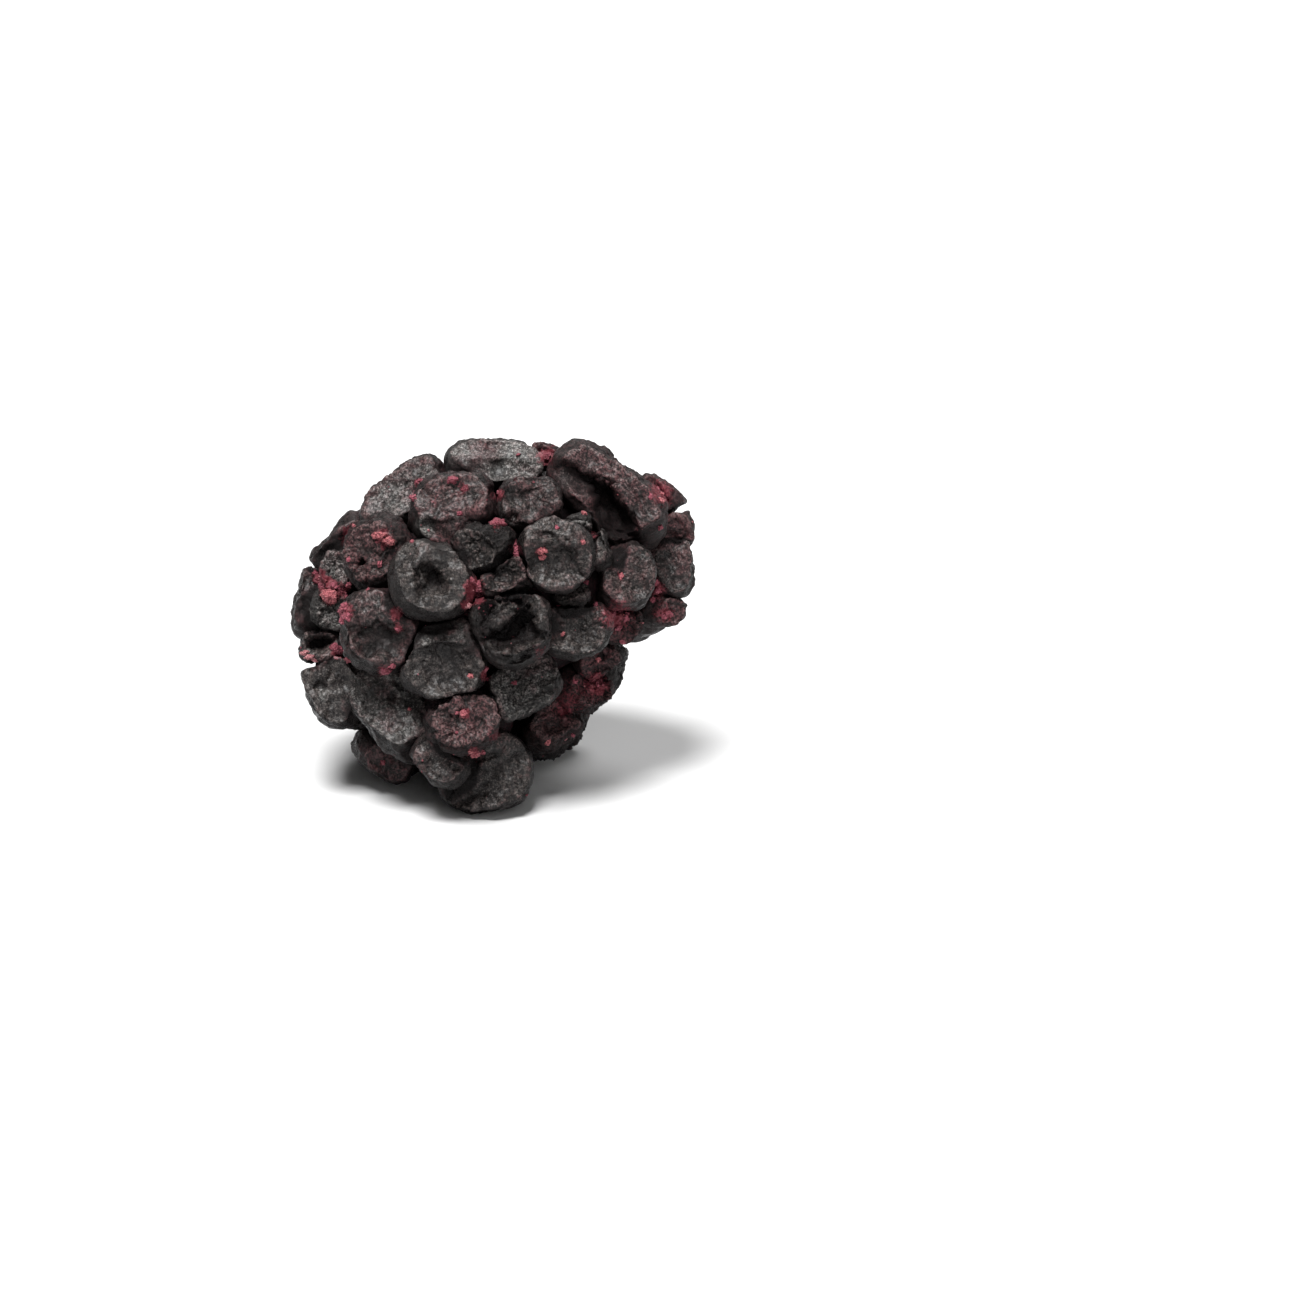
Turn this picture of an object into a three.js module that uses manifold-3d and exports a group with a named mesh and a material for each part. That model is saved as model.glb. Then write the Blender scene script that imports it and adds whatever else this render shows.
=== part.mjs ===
// A dried bramble berry, lying on a surface. Millimetres, +Z up.
// The fruit is one body: a small core with closely packed drupelets grown round it, each a cushion
// flattened where it meets its neighbours, some dented and a few collapsed into hollows, and the
// stem end at the back, where the receptacle's dry scar shows in a ring of drupelets.
import * as THREE from "three";
import { mergeVertices } from "three/addons/utils/BufferGeometryUtils.js";
import Module from "manifold-3d";

// Driving dimensions. The berry is laid out in its own upright frame: x across its best side, y away
// from that side and z up it. It is then tipped back onto the three drupelets that it rests on.
const TIPPED_BACK = 18; // degrees about X
const STANDS_AT = [0.02, -4.07, -0.5]; // where the layout's origin falls once it is tipped back
const SINK = 0.2; // how deep the drupelets that it rests on are pressed flat
const CLEAR = 0.2; // how far the hidden drupelets stay off the surface

// The seat is the rounded shape that the drupelets' middles lie on: a long barrel, a lower lobe and
// a broad heel behind the lobe, hidden from the best side.
const SEAT = [
  { middle: [0.1, 0.2, 11.2], radii: [8.2, 6.6, 5.5], lean: 15 },
  { middle: [-1.6, -0.2, 4.6], radii: [3.5, 4.9, 3.1], lean: 0 },
  { middle: [-1.4, 3.5, 8.4], radii: [6.0, 5.7, 4.7], lean: 0 },
];
const CORE_INSET = 0.3; // the core lies this far inside the seat
const HUB = [-0.9, 0.6, 7.4]; // a point inside all three seat shapes

// A drupelet's form.
const CUSHION = 2.5; // 2 is an ellipsoid, and more is boxier
const FILL = 0.16; // how much further than its own size it swells towards its neighbours
const ROUNDING = 8; // how sharp its edges are: 2 is soft, 20 is crisp
const OVERLAP = 0.06; // how far two neighbours' walls run into each other
const ROOT = 3.4; // how deep it is rooted

// The stem end: where it is on the back, the scar's size, and the clear ring round it.
const STEM = { towards: [0.5, 0.85, 0.1], radius: 1.8, rise: 0.9, hollow: 0.5 };

// The drupelets of the best side: x and z of the middle, half width and half height, turn in degrees,
// how far back from the seat, and a dent as [x, z, depth, half width] from the drupelet's middle.
const SEEN = [
  // along the top, from the left
  [-4.35, 15.85, 2.15, 1.1, 35, 0.5, [0.2, 0.1, 0.2, 0.9]],
  [0.2, 17.35, 2.4, 1.15, -3, -0.5, [0.4, -0.2, 0.15, 1.2]],
  [2.55, 17.7, 0.75, 0.6, 0, 0.4],
  [3.9, 16.6, 1.3, 1.5, 20, -0.4, [0.1, -0.3, 0.3, 0.7]],
  [6.1, 15.4, 2.5, 1.75, -42, -0.2, [0.1, -0.35, 1.6, 1.0]],
  [8.4, 15.5, 0.95, 0.85, -20, 1.8],
  [8.9, 14.3, 0.7, 0.7, 0, 2.0],
  // the upper middle
  [-1.9, 15.1, 2.0, 1.65, 12, 0, [-1.1, -1.0, 0.25, 0.5]],
  [1.85, 15.4, 1.5, 1.25, 4, 0, [-0.6, -0.6, 0.3, 0.5]],
  [4.35, 14.2, 0.6, 0.6, 0, 0.1],
  [5.3, 13.1, 0.6, 1.0, 10, 0.1],
  [-5.6, 12.85, 1.65, 1.65, 25, 0, [-0.9, -0.6, 0.3, 0.5]],
  [-2.95, 11.5, 1.95, 1.8, -12, -0.1, [-0.35, 0.05, 0.4, 0.75]],
  [-0.3, 13.05, 1.35, 1.1, 0, 0.5, [0, 0, 0.25, 0.5]],
  [3.2, 12.75, 1.8, 1.65, -10, -0.1],
  [0.9, 11.65, 1.25, 0.85, 20, 0.5],
  // the left side
  [-7.15, 13.1, 1.4, 1.6, 35, 1.9],
  [-9.0, 10.6, 1.05, 1.85, -5, 2.3],
  [-7.65, 12.0, 0.85, 1.0, 0, -0.4],
  [-8.1, 10.2, 0.95, 1.05, 0, -0.4, [0, 0, 0.2, 0.5]],
  [-8.5, 8.25, 1.15, 0.85, 0, 0.2, [0.15, 0.1, 0.8, 0.65]],
  [-7.95, 6.05, 1.85, 1.3, -68, 0, [-0.1, 0.1, 0.3, 0.5]],
  // the middle row
  [-5.35, 9.15, 2.0, 1.95, 10, 0, [0.2, 0.2, 0.35, 1.1]],
  [-2.35, 7.7, 1.95, 1.9, 0, 0],
  [1.15, 9.35, 1.75, 1.85, 25, 0, [-0.15, 0.05, 1.25, 1.0]],
  [4.0, 10.85, 0.95, 0.5, 10, 0.4],
  [4.1, 9.15, 1.65, 1.35, -8, 0, [0.3, -0.2, 0.15, 0.8]],
  // the right side
  [6.75, 11.7, 1.35, 1.55, 0, 0],
  [8.85, 12.35, 1.1, 1.8, 8, 0.6, [0.1, 0.4, 0.15, 0.6]],
  [9.6, 11.6, 0.35, 0.45, 0, 1.6],
  [6.4, 9.45, 0.95, 1.0, 0, 0.1],
  [8.4, 10.1, 1.15, 0.85, 0, 0.5],
  // the lower lobe
  [-4.95, 4.95, 2.35, 1.5, -50, -0.2, [0.0, 0.6, 0.35, 0.55]],
  [-1.45, 4.4, 1.65, 1.35, 15, -0.3],
  [-2.45, 2.6, 1.45, 1.1, -40, -0.5],
  [-5.4, 2.75, 1.55, 1.0, -30, 1.4],
  [-0.4, 1.95, 2.25, 1.95, 0, 0.4, [1.2, 0.3, 0.2, 0.7]],
  [1.55, 6.2, 1.85, 1.3, 22, -0.5, [0.2, 0.2, 0.35, 0.8]],
  [2.85, 4.45, 1.45, 0.95, 38, 0.8],
  [4.6, 6.2, 1.15, 1.2, 40, 0.5],
  [5.3, 7.7, 0.95, 0.8, 30, 0.6],
];

// The drupelets that it rests on behind the lower lobe: x, y and half width.
const RESTING = [
  [-5.0, 7.5, 1.9],
  [2.7, 7.9, 1.85],
];

// The other drupelets are spread over the rest of the seat by a rule.
const SPREAD = {
  tries: 400, // points tried
  front: 0.4, // none is nearer to the best side than this y
  apart: 2.9, // the least that two start apart
  clear: 0.95, // how much of its room must be clear of the placed ones
  reach: 3.9, // how far apart they push each other
  rounds: 80,
  step: 0.3,
  smallest: 1.0,
  largest: 2.15,
};

// Facets.
const AROUND = 10; // sides of a drupelet
const RINGS = [17, 36, 56, 77, 100]; // degrees from its outward pole
const CORE_DETAIL = 4;

const wasm = await Module();
wasm.setup();

const toVector = (list) => new THREE.Vector3(...list);
const radians = THREE.MathUtils.degToRad;
const draw = (n) => (n * 0.6180339887) % 1; // an even, unrepeating draw from 0 to 1
const hub = toVector(HUB);
const stemOut = toVector(STEM.towards).normalize();
const down = new THREE.Vector3(0, Math.sin(radians(TIPPED_BACK)), -Math.cos(radians(TIPPED_BACK)));

// A closed three.js geometry as a manifold solid.
function solidOf(geometry) {
  geometry.deleteAttribute("normal");
  geometry.deleteAttribute("uv");
  const merged = mergeVertices(geometry, 1e-4);
  return new wasm.Manifold(
    new wasm.Mesh({
      numProp: 3,
      vertProperties: merged.attributes.position.array,
      triVerts: new Uint32Array(merged.index.array),
    }),
  );
}

// A manifold solid as a three.js geometry.
function geometryOf(solid) {
  const mesh = solid.getMesh();
  const geometry = new THREE.BufferGeometry();
  geometry.setAttribute("position", new THREE.BufferAttribute(mesh.vertProperties, 3));
  geometry.setIndex(new THREE.BufferAttribute(mesh.triVerts, 1));
  geometry.computeVertexNormals();
  return geometry;
}

// A point in one seat shape's own scale, where the shape is a ball of radius 1.
function scaledBy(shape, point) {
  const local = point.clone().sub(toVector(shape.middle));
  local.applyAxisAngle(new THREE.Vector3(0, 1, 0), radians(shape.lean));
  return local.divide(toVector(shape.radii));
}

// The point where a ray from the hub leaves the seat: the furthest of its shapes' surfaces.
function onSeat(direction) {
  const far = SEAT.map((shape) => {
    const start = scaledBy(shape, hub);
    const run = scaledBy(shape, hub.clone().add(direction)).sub(start);
    const a = run.dot(run);
    const b = start.dot(run);
    const c = start.dot(start) - 1;
    return (-b + Math.sqrt(b * b - a * c)) / a;
  });
  return hub.clone().addScaledVector(direction, Math.max(...far));
}

// The seat's depth on the near side at x and z, or its middle depth outside its outline.
function seatDepth(x, z) {
  const depths = SEAT.map((shape) => {
    const [, middle] = shape.middle;
    const flat = scaledBy(shape, new THREE.Vector3(x, middle, z));
    const left = 1 - flat.x ** 2 - flat.z ** 2;
    return middle - shape.radii[1] * Math.sqrt(Math.max(left, 0));
  });
  return Math.min(...depths);
}

// One drupelet of the best side. Its radii lie across, up and through, as it is seen.
function seenDrupelet([x, z, half, tall, turn, back, dent]) {
  const middle = new THREE.Vector3(x, seatDepth(x, z) + back, z);
  const across = new THREE.Vector3(Math.cos(radians(turn)), 0, Math.sin(radians(turn)));
  const through = new THREE.Vector3(0, -1, 0);
  const out = middle.clone().sub(hub).normalize();
  const facing = Math.max(out.dot(through), 0);
  const deep = THREE.MathUtils.lerp(Math.max(half, tall), Math.min(half, tall), facing);
  const drupelet = {
    middle,
    out,
    axes: [across, new THREE.Vector3().crossVectors(through, across), through],
    radii: [half, tall, deep],
  };
  if (dent) {
    const [dx, dz, depth, width] = dent;
    const dy = -Math.sqrt(Math.max(half * tall - dx * dx - dz * dz, 0.1));
    drupelet.dent = {
      towards: new THREE.Vector3(dx, dy, dz).normalize(),
      depth,
      width: width / Math.sqrt(half * tall),
    };
  }
  return drupelet;
}

// A drupelet of the hidden sides, turned and dented by its number in the rule.
function hiddenDrupelet(middle, radius, number) {
  const out = middle.clone().sub(hub).normalize();
  const across = new THREE.Vector3(0, 0, 1).cross(out).normalize();
  const up = new THREE.Vector3().crossVectors(out, across);
  const turn = draw(number) * Math.PI;
  const towards = out
    .clone()
    .addScaledVector(across, 0.5 * (draw(number + 7) - 0.5))
    .addScaledVector(up, 0.5 * (draw(number + 3) - 0.5))
    .normalize();
  return {
    middle,
    out,
    axes: [across.applyAxisAngle(out, turn), up.applyAxisAngle(out, turn), out],
    radii: [radius * 1.08, radius * 0.98, radius * 0.86],
    dent: { towards, depth: 0.1 + 0.4 * draw(number + 11), width: 0.35 + 0.2 * draw(number + 5) },
  };
}

// A drupelet that the berry rests on, set so low that the surface cuts its sink off it.
function restingDrupelet([x, y, radius], number) {
  const drupelet = hiddenDrupelet(new THREE.Vector3(x, y, HUB[2] - 3), radius, number);
  const reach = ownRadius(drupelet, down);
  drupelet.middle.addScaledVector(down, roomBelow(drupelet.middle) + SINK - reach);
  return drupelet;
}

// How far a point of the layout is above the surface that the berry stands on.
function roomBelow(point) {
  return STANDS_AT[2] - point.dot(down);
}

// Middles for the drupelets of the hidden sides: an even spiral over the seat, thinned to those that
// have room, which then push each other and the placed ones away until they are evenly packed.
function hiddenMiddles(placed) {
  const { tries, front, apart, clear, reach, rounds, step } = SPREAD;
  const stem = onSeat(stemOut);
  const loose = [];

  // The pushes on a point from what is already placed, each as long as the point is too near it.
  function pushesOn(point, share) {
    const pushes = [];
    const pushFrom = (middle, sizeTowards) => {
      const way = point.clone().sub(middle);
      const distance = way.length();
      way.normalize();
      const short = (reach / 2 + sizeTowards(way)) * share - distance;
      if (short > 0) pushes.push(way.multiplyScalar(short));
    };
    for (const drupelet of placed) pushFrom(drupelet.middle, (way) => ownRadius(drupelet, way));
    pushFrom(stem, () => STEM.radius);
    return pushes;
  }

  for (let n = 0; n < tries; n++) {
    const level = 1 - (2 * n + 1) / tries;
    const turn = n * Math.PI * (3 - Math.sqrt(5));
    const flat = Math.sqrt(1 - level * level);
    const direction = new THREE.Vector3(flat * Math.cos(turn), flat * Math.sin(turn), level);
    const point = onSeat(direction);
    const close = loose.some((other) => other.distanceTo(point) < apart);
    if (point.y > front && !close && !pushesOn(point, clear).length) loose.push(point);
  }
  for (let round = 0; round < rounds; round++) {
    for (const point of loose) {
      const push = new THREE.Vector3();
      for (const part of pushesOn(point, 1)) push.add(part);
      for (const other of loose) {
        const away = point.clone().sub(other);
        const short = reach - away.length();
        if (other !== point && short > 0) push.addScaledVector(away.normalize(), short);
      }
      const moved = point.clone().addScaledVector(push, step);
      moved.y = Math.max(moved.y, front);
      point.copy(onSeat(moved.sub(hub).normalize()));
    }
  }
  return loose;
}

// All of them: the seen, those rested on, and the rest, as big as their neighbours leave room for.
function allDrupelets() {
  const placed = [...SEEN.map(seenDrupelet), ...RESTING.map(restingDrupelet)];
  const loose = hiddenMiddles(placed);
  const hidden = loose.flatMap((middle, n) => {
    const gaps = [...loose, ...placed.map((d) => d.middle)]
      .map((other) => other.distanceTo(middle))
      .sort((a, b) => a - b)
      .slice(1, 5);
    const room = gaps.reduce((sum, gap) => sum + gap, 0) / gaps.length / 2;
    const radius = Math.min(room * 1.12, SPREAD.largest, roomBelow(middle) - CLEAR);
    return radius < SPREAD.smallest ? [] : [hiddenDrupelet(middle, radius, n)];
  });
  return [...placed, ...hidden];
}

// A drupelet's own radius in a direction, before its neighbours flatten it.
function ownRadius({ axes, radii }, direction) {
  const sum = axes.reduce(
    (total, axis, n) => total + Math.abs(direction.dot(axis) / radii[n]) ** CUSHION,
    0,
  );
  return sum ** (-1 / CUSHION);
}

// The flat walls that a drupelet shares with its neighbours, each as a direction and a distance.
function wallsOf(drupelet, drupelets) {
  const walls = [];
  for (const other of drupelets) {
    if (other === drupelet) continue;
    const towards = other.middle.clone().sub(drupelet.middle);
    const apart = towards.length();
    towards.divideScalar(apart);
    const own = ownRadius(drupelet, towards);
    const its = ownRadius(other, towards.clone().negate());
    if (apart > (own + its) * 1.3) continue;
    walls.push({ towards, distance: (apart * own) / (own + its) + OVERLAP });
  }
  return walls;
}

// The radius of a drupelet packed among its neighbours: the least of its own and its walls', with
// rounded edges, less its dent.
function packedRadius(drupelet, walls, direction) {
  const facing = walls.map(({ towards }) => Math.max(direction.dot(towards), 0));
  const own = ownRadius(drupelet, direction) * (1 + FILL * Math.max(...facing, 0) ** 2);
  let sum = own ** -ROUNDING;
  walls.forEach(({ distance }, n) => (sum += (facing[n] / distance) ** ROUNDING));
  let radius = sum ** (-1 / ROUNDING);
  if (drupelet.dent) {
    const { towards, depth, width } = drupelet.dent;
    const away = direction.angleTo(towards) / width;
    radius -= Math.min(depth * Math.exp(-(away ** 3)), radius * 0.75);
  }
  return radius;
}

// A closed solid in rings round the drupelet's outward pole, with one long point for its root.
function drupeletSolid(drupelet, drupelets) {
  const walls = wallsOf(drupelet, drupelets);
  const { out, middle } = drupelet;
  const side = new THREE.Vector3(0.3, 0.2, 1).cross(out).normalize();
  const points = [];
  const add = (direction) =>
    points.push(
      middle.clone().addScaledVector(direction, packedRadius(drupelet, walls, direction)),
    );
  add(out);
  for (const [ring, angle] of RINGS.entries()) {
    const edge = out.clone().applyAxisAngle(side, radians(angle));
    for (let n = 0; n < AROUND; n++) {
      const turn = ((n + (ring % 2) / 2) / AROUND) * 2 * Math.PI;
      add(edge.clone().applyAxisAngle(out, turn));
    }
  }
  points.push(middle.clone().addScaledVector(out, -ROOT));
  const faces = [];
  const at = (ring, n) => 1 + ring * AROUND + (n % AROUND);
  for (let n = 0; n < AROUND; n++) {
    faces.push(0, at(0, n), at(0, n + 1));
    for (let ring = 0; ring + 1 < RINGS.length; ring++) {
      const [a, b] = [at(ring, n), at(ring, n + 1)];
      const [c, d] = [at(ring + 1, n), at(ring + 1, n + 1)];
      if (ring % 2) faces.push(a, d, b, a, c, d);
      else faces.push(a, c, b, b, c, d);
    }
    faces.push(at(RINGS.length - 1, n + 1), at(RINGS.length - 1, n), points.length - 1);
  }
  const geometry = new THREE.BufferGeometry();
  geometry.setAttribute(
    "position",
    new THREE.Float32BufferAttribute(points.flatMap((p) => p.toArray()), 3),
  );
  geometry.setIndex(faces);
  return solidOf(geometry);
}

// The core: a ball drawn out to just inside the seat.
function coreSolid() {
  const geometry = new THREE.IcosahedronGeometry(1, CORE_DETAIL);
  const place = geometry.attributes.position;
  const direction = new THREE.Vector3();
  for (let n = 0; n < place.count; n++) {
    direction.fromBufferAttribute(place, n).normalize();
    place.setXYZ(n, ...onSeat(direction).addScaledVector(direction, -CORE_INSET).toArray());
  }
  return solidOf(geometry);
}

// The stem scar: a short turned plug with a hollow face, standing on the core.
function stemSolid() {
  const { radius, rise, hollow } = STEM;
  const profile = [
    [0, -3],
    [radius * 1.15, -3],
    [radius * 1.1, rise * 0.3],
    [radius * 0.85, rise],
    [radius * 0.6, rise * 0.85],
    [radius * 0.35, rise - hollow],
    [0, rise - hollow * 1.3],
  ].map(([across, up]) => new THREE.Vector2(across, up));
  const geometry = new THREE.LatheGeometry(profile, 14);
  geometry.applyQuaternion(
    new THREE.Quaternion().setFromUnitVectors(new THREE.Vector3(0, 1, 0), stemOut),
  );
  geometry.translate(...onSeat(stemOut).toArray());
  return solidOf(geometry);
}

// Everything fused, tipped back, set down and pressed flat where it rests. Only the largest body is
// kept, so that sealed hollows fill and loose scraps go.
function berrySolid() {
  const drupelets = allDrupelets();
  const [largest] = wasm.Manifold.union([
    coreSolid(),
    stemSolid(),
    ...drupelets.map((drupelet) => drupeletSolid(drupelet, drupelets)),
  ])
    .rotate([-TIPPED_BACK, 0, 0])
    .translate(STANDS_AT)
    .trimByPlane([0, 0, 1], 0)
    .decompose()
    .sort((a, b) => b.volume() - a.volume());
  return largest;
}

const skin = new THREE.MeshStandardMaterial({ color: 0x2a2024, roughness: 0.62, metalness: 0 });

const bramble = new THREE.Group();
const berry = new THREE.Mesh(geometryOf(berrySolid()), skin);
berry.name = "berry";
bramble.add(berry);

export default bramble;
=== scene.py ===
import math

import bmesh
import bpy
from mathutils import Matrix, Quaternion, Vector, noise


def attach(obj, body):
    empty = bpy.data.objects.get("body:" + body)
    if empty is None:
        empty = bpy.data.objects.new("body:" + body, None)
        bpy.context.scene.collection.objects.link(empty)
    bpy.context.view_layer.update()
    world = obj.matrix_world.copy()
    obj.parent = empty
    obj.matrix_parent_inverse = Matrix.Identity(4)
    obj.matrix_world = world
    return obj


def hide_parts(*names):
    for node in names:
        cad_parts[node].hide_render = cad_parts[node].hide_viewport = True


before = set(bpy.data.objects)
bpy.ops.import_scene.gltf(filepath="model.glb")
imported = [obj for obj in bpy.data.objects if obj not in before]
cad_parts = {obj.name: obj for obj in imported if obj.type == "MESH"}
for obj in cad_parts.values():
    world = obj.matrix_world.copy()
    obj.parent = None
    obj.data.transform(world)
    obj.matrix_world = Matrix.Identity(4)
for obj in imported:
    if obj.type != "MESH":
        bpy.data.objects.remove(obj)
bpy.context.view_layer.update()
body = "root"
node = "berry"
mm = 0.001
halfTurn = 3.14  # radians, near enough for the random turns

# The berry is laid out upright in millimetres, x across its best side, y away from it and z up,
# and each tree tips it back onto the floor at its end.
layout = {
    "tippedBack": 18,  # degrees about X
    "standsAt": (0.02, -4.07, -0.5),  # where the layout's origin is once it is tipped back
    "hub": (-0.9, 0.6, 7.4),  # a point inside all three shapes of the seat
    "sink": 0.2,  # how deep the drupelets that it rests on are pressed flat
    "clear": 0.2,  # how far the hidden ones stay off the floor
}
seat = [  # the rounded shape that the drupelets' middles lie on: barrel, lower lobe, heel
    {"middle": (0.1, 0.2, 11.2), "radii": (8.2, 6.6, 5.5), "lean": 15},
    {"middle": (-1.6, -0.2, 4.6), "radii": (3.5, 4.9, 3.1), "lean": 0},
    {"middle": (-1.4, 3.5, 8.4), "radii": (6.0, 5.7, 4.7), "lean": 0},
]
tipped = Quaternion((1, 0, 0), math.radians(-layout["tippedBack"]))
standsAt = Vector(layout["standsAt"])
hub = Vector(layout["hub"])


def inWorld(place):  # from the layout's millimetres to metres
    return (tipped @ Vector(place) + standsAt) * mm


def golden(number):  # an even, unrepeating draw from 0 to 1
    return number * 0.6180339887 % 1


def inScale(shape, point):  # a point where the seat shape is a ball of radius 1
    local = Quaternion((0, 1, 0), math.radians(shape["lean"])) @ (point - Vector(shape["middle"]))
    return Vector(part / radius for part, radius in zip(local, shape["radii"]))


def onSeat(direction):  # where a ray from the hub leaves the seat
    far = []
    for shape in seat:
        start = inScale(shape, hub)
        run = inScale(shape, hub + direction) - start
        a, b, c = run.dot(run), start.dot(run), start.dot(start) - 1
        far.append((-b + math.sqrt(b * b - a * c)) / a)
    return hub + direction * max(far)


def seatDepth(x, z):  # the seat's near side at x and z
    depths = []
    for shape in seat:
        middle = shape["middle"][1]
        flat = inScale(shape, Vector((x, middle, z)))
        left = max(1 - flat.x**2 - flat.z**2, 0)
        depths.append(middle - shape["radii"][1] * math.sqrt(left))
    return min(depths)


# Camera, lights and floor.
studio = {
    "camera": (7.85, -380, 8.1),  # millimetres in the layout
    "lens": 210.5,
    "clip": (0.01, 10),  # metres
    "floorHalf": 3.0,
    "floorTone": 0.58,
    "floorRoughness": 0.9,
    "skyLight": 0.06,
    "horizonLight": 1.0,
    "horizonBand": (0.10, 0.45),  # the sine of the height at which it starts and ends fading
    "lights": [  # name, turn from the camera and height in degrees, apparent size, strength
        ("key", -22, 66, 24, 6.4),
        ("fill", 22, 25, 50, 1.0),
        ("rim", 165, 50, 40, 2.2),
    ],
}


def addCamera():
    camera = bpy.data.objects.new("camera", bpy.data.cameras.new("camera"))
    camera.data.lens = studio["lens"]
    camera.data.clip_start, camera.data.clip_end = studio["clip"]
    camera.location = inWorld(studio["camera"])
    camera.rotation_euler = (math.radians(90 - layout["tippedBack"]), 0, 0)
    bpy.context.scene.collection.objects.link(camera)
    bpy.context.scene.camera = camera


def addLights():
    for name, turn, height, size, strength in studio["lights"]:
        light = bpy.data.lights.new(name, "SUN")
        light.angle = math.radians(size)
        light.energy = strength
        lamp = bpy.data.objects.new(name, light)
        lamp.rotation_euler = (math.radians(90 - height), 0, math.radians(turn))
        bpy.context.scene.collection.objects.link(lamp)
    bpy.context.scene.view_settings.view_transform = "Standard"


def addWorld():  # a dim room with a white surround at the height of the eye
    world = bpy.data.worlds.new("studio")
    world.use_nodes = True
    maker = Maker(world.node_tree)
    high = maker.node("ShaderNodeTexCoord", output="Generated").part("Z")
    light = maker.ramp(high, *studio["horizonBand"], studio["horizonLight"], studio["skyLight"])
    seenIt = maker.node("ShaderNodeLightPath", output="Is Camera Ray")
    background = world.node_tree.nodes["Background"]
    maker.put(background.inputs["Color"], (1, 1, 1, 1))
    maker.put(background.inputs["Strength"], light * seenIt + studio["skyLight"] * (1 - seenIt))
    bpy.context.scene.world = world


# Node trees: a Wire is an output socket that maths can be written with, and a Maker adds nodes.
class Wire:
    def __init__(self, maker, socket):
        self.maker = maker
        self.socket = socket

    def isVector(self):
        return self.socket.type == "VECTOR"

    def pair(self, operation, other, swap=False):
        values = (other, self) if swap else (self, other)
        vectors = [isVector(value) for value in values]
        if not any(vectors):
            return self.maker.maths(operation, *values)
        if operation == "MULTIPLY" and not all(vectors):
            vector, number = values if vectors[0] else values[::-1]
            return self.maker.vectors("SCALE", vector, scale=number)
        if operation == "DIVIDE" and not vectors[1]:
            return self.maker.vectors("SCALE", self, scale=1 / other)
        return self.maker.vectors(operation, *values)

    def __add__(self, other):
        return self.pair("ADD", other)

    def __sub__(self, other):
        return self.pair("SUBTRACT", other)

    def __rsub__(self, other):
        return self.pair("SUBTRACT", other, swap=True)

    def __mul__(self, other):
        return self.pair("MULTIPLY", other)

    def __truediv__(self, other):
        return self.pair("DIVIDE", other)

    def __rtruediv__(self, other):
        return self.pair("DIVIDE", other, swap=True)

    def __pow__(self, other):
        return self.pair("POWER", other)

    def __neg__(self):
        return self * -1

    __radd__ = __add__
    __rmul__ = __mul__

    def unit(self):
        return self.maker.vectors("NORMALIZE", self)

    def length(self):
        return self.maker.vectors("LENGTH", self, output="Value")

    def dot(self, other):
        return self.maker.vectors("DOT_PRODUCT", self, other, output="Value")

    def atLeast(self, other):
        return self.maker.maths("MAXIMUM", self, other)

    def atMost(self, other):
        return self.maker.maths("MINIMUM", self, other)

    def size(self):
        return self.maker.maths("ABSOLUTE", self)

    def part(self, axis):
        return self.maker.node("ShaderNodeSeparateXYZ", inputs={0: self}, output=axis)


def isVector(value):
    return value.isVector() if isinstance(value, Wire) else isinstance(value, (tuple, Vector))


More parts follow.
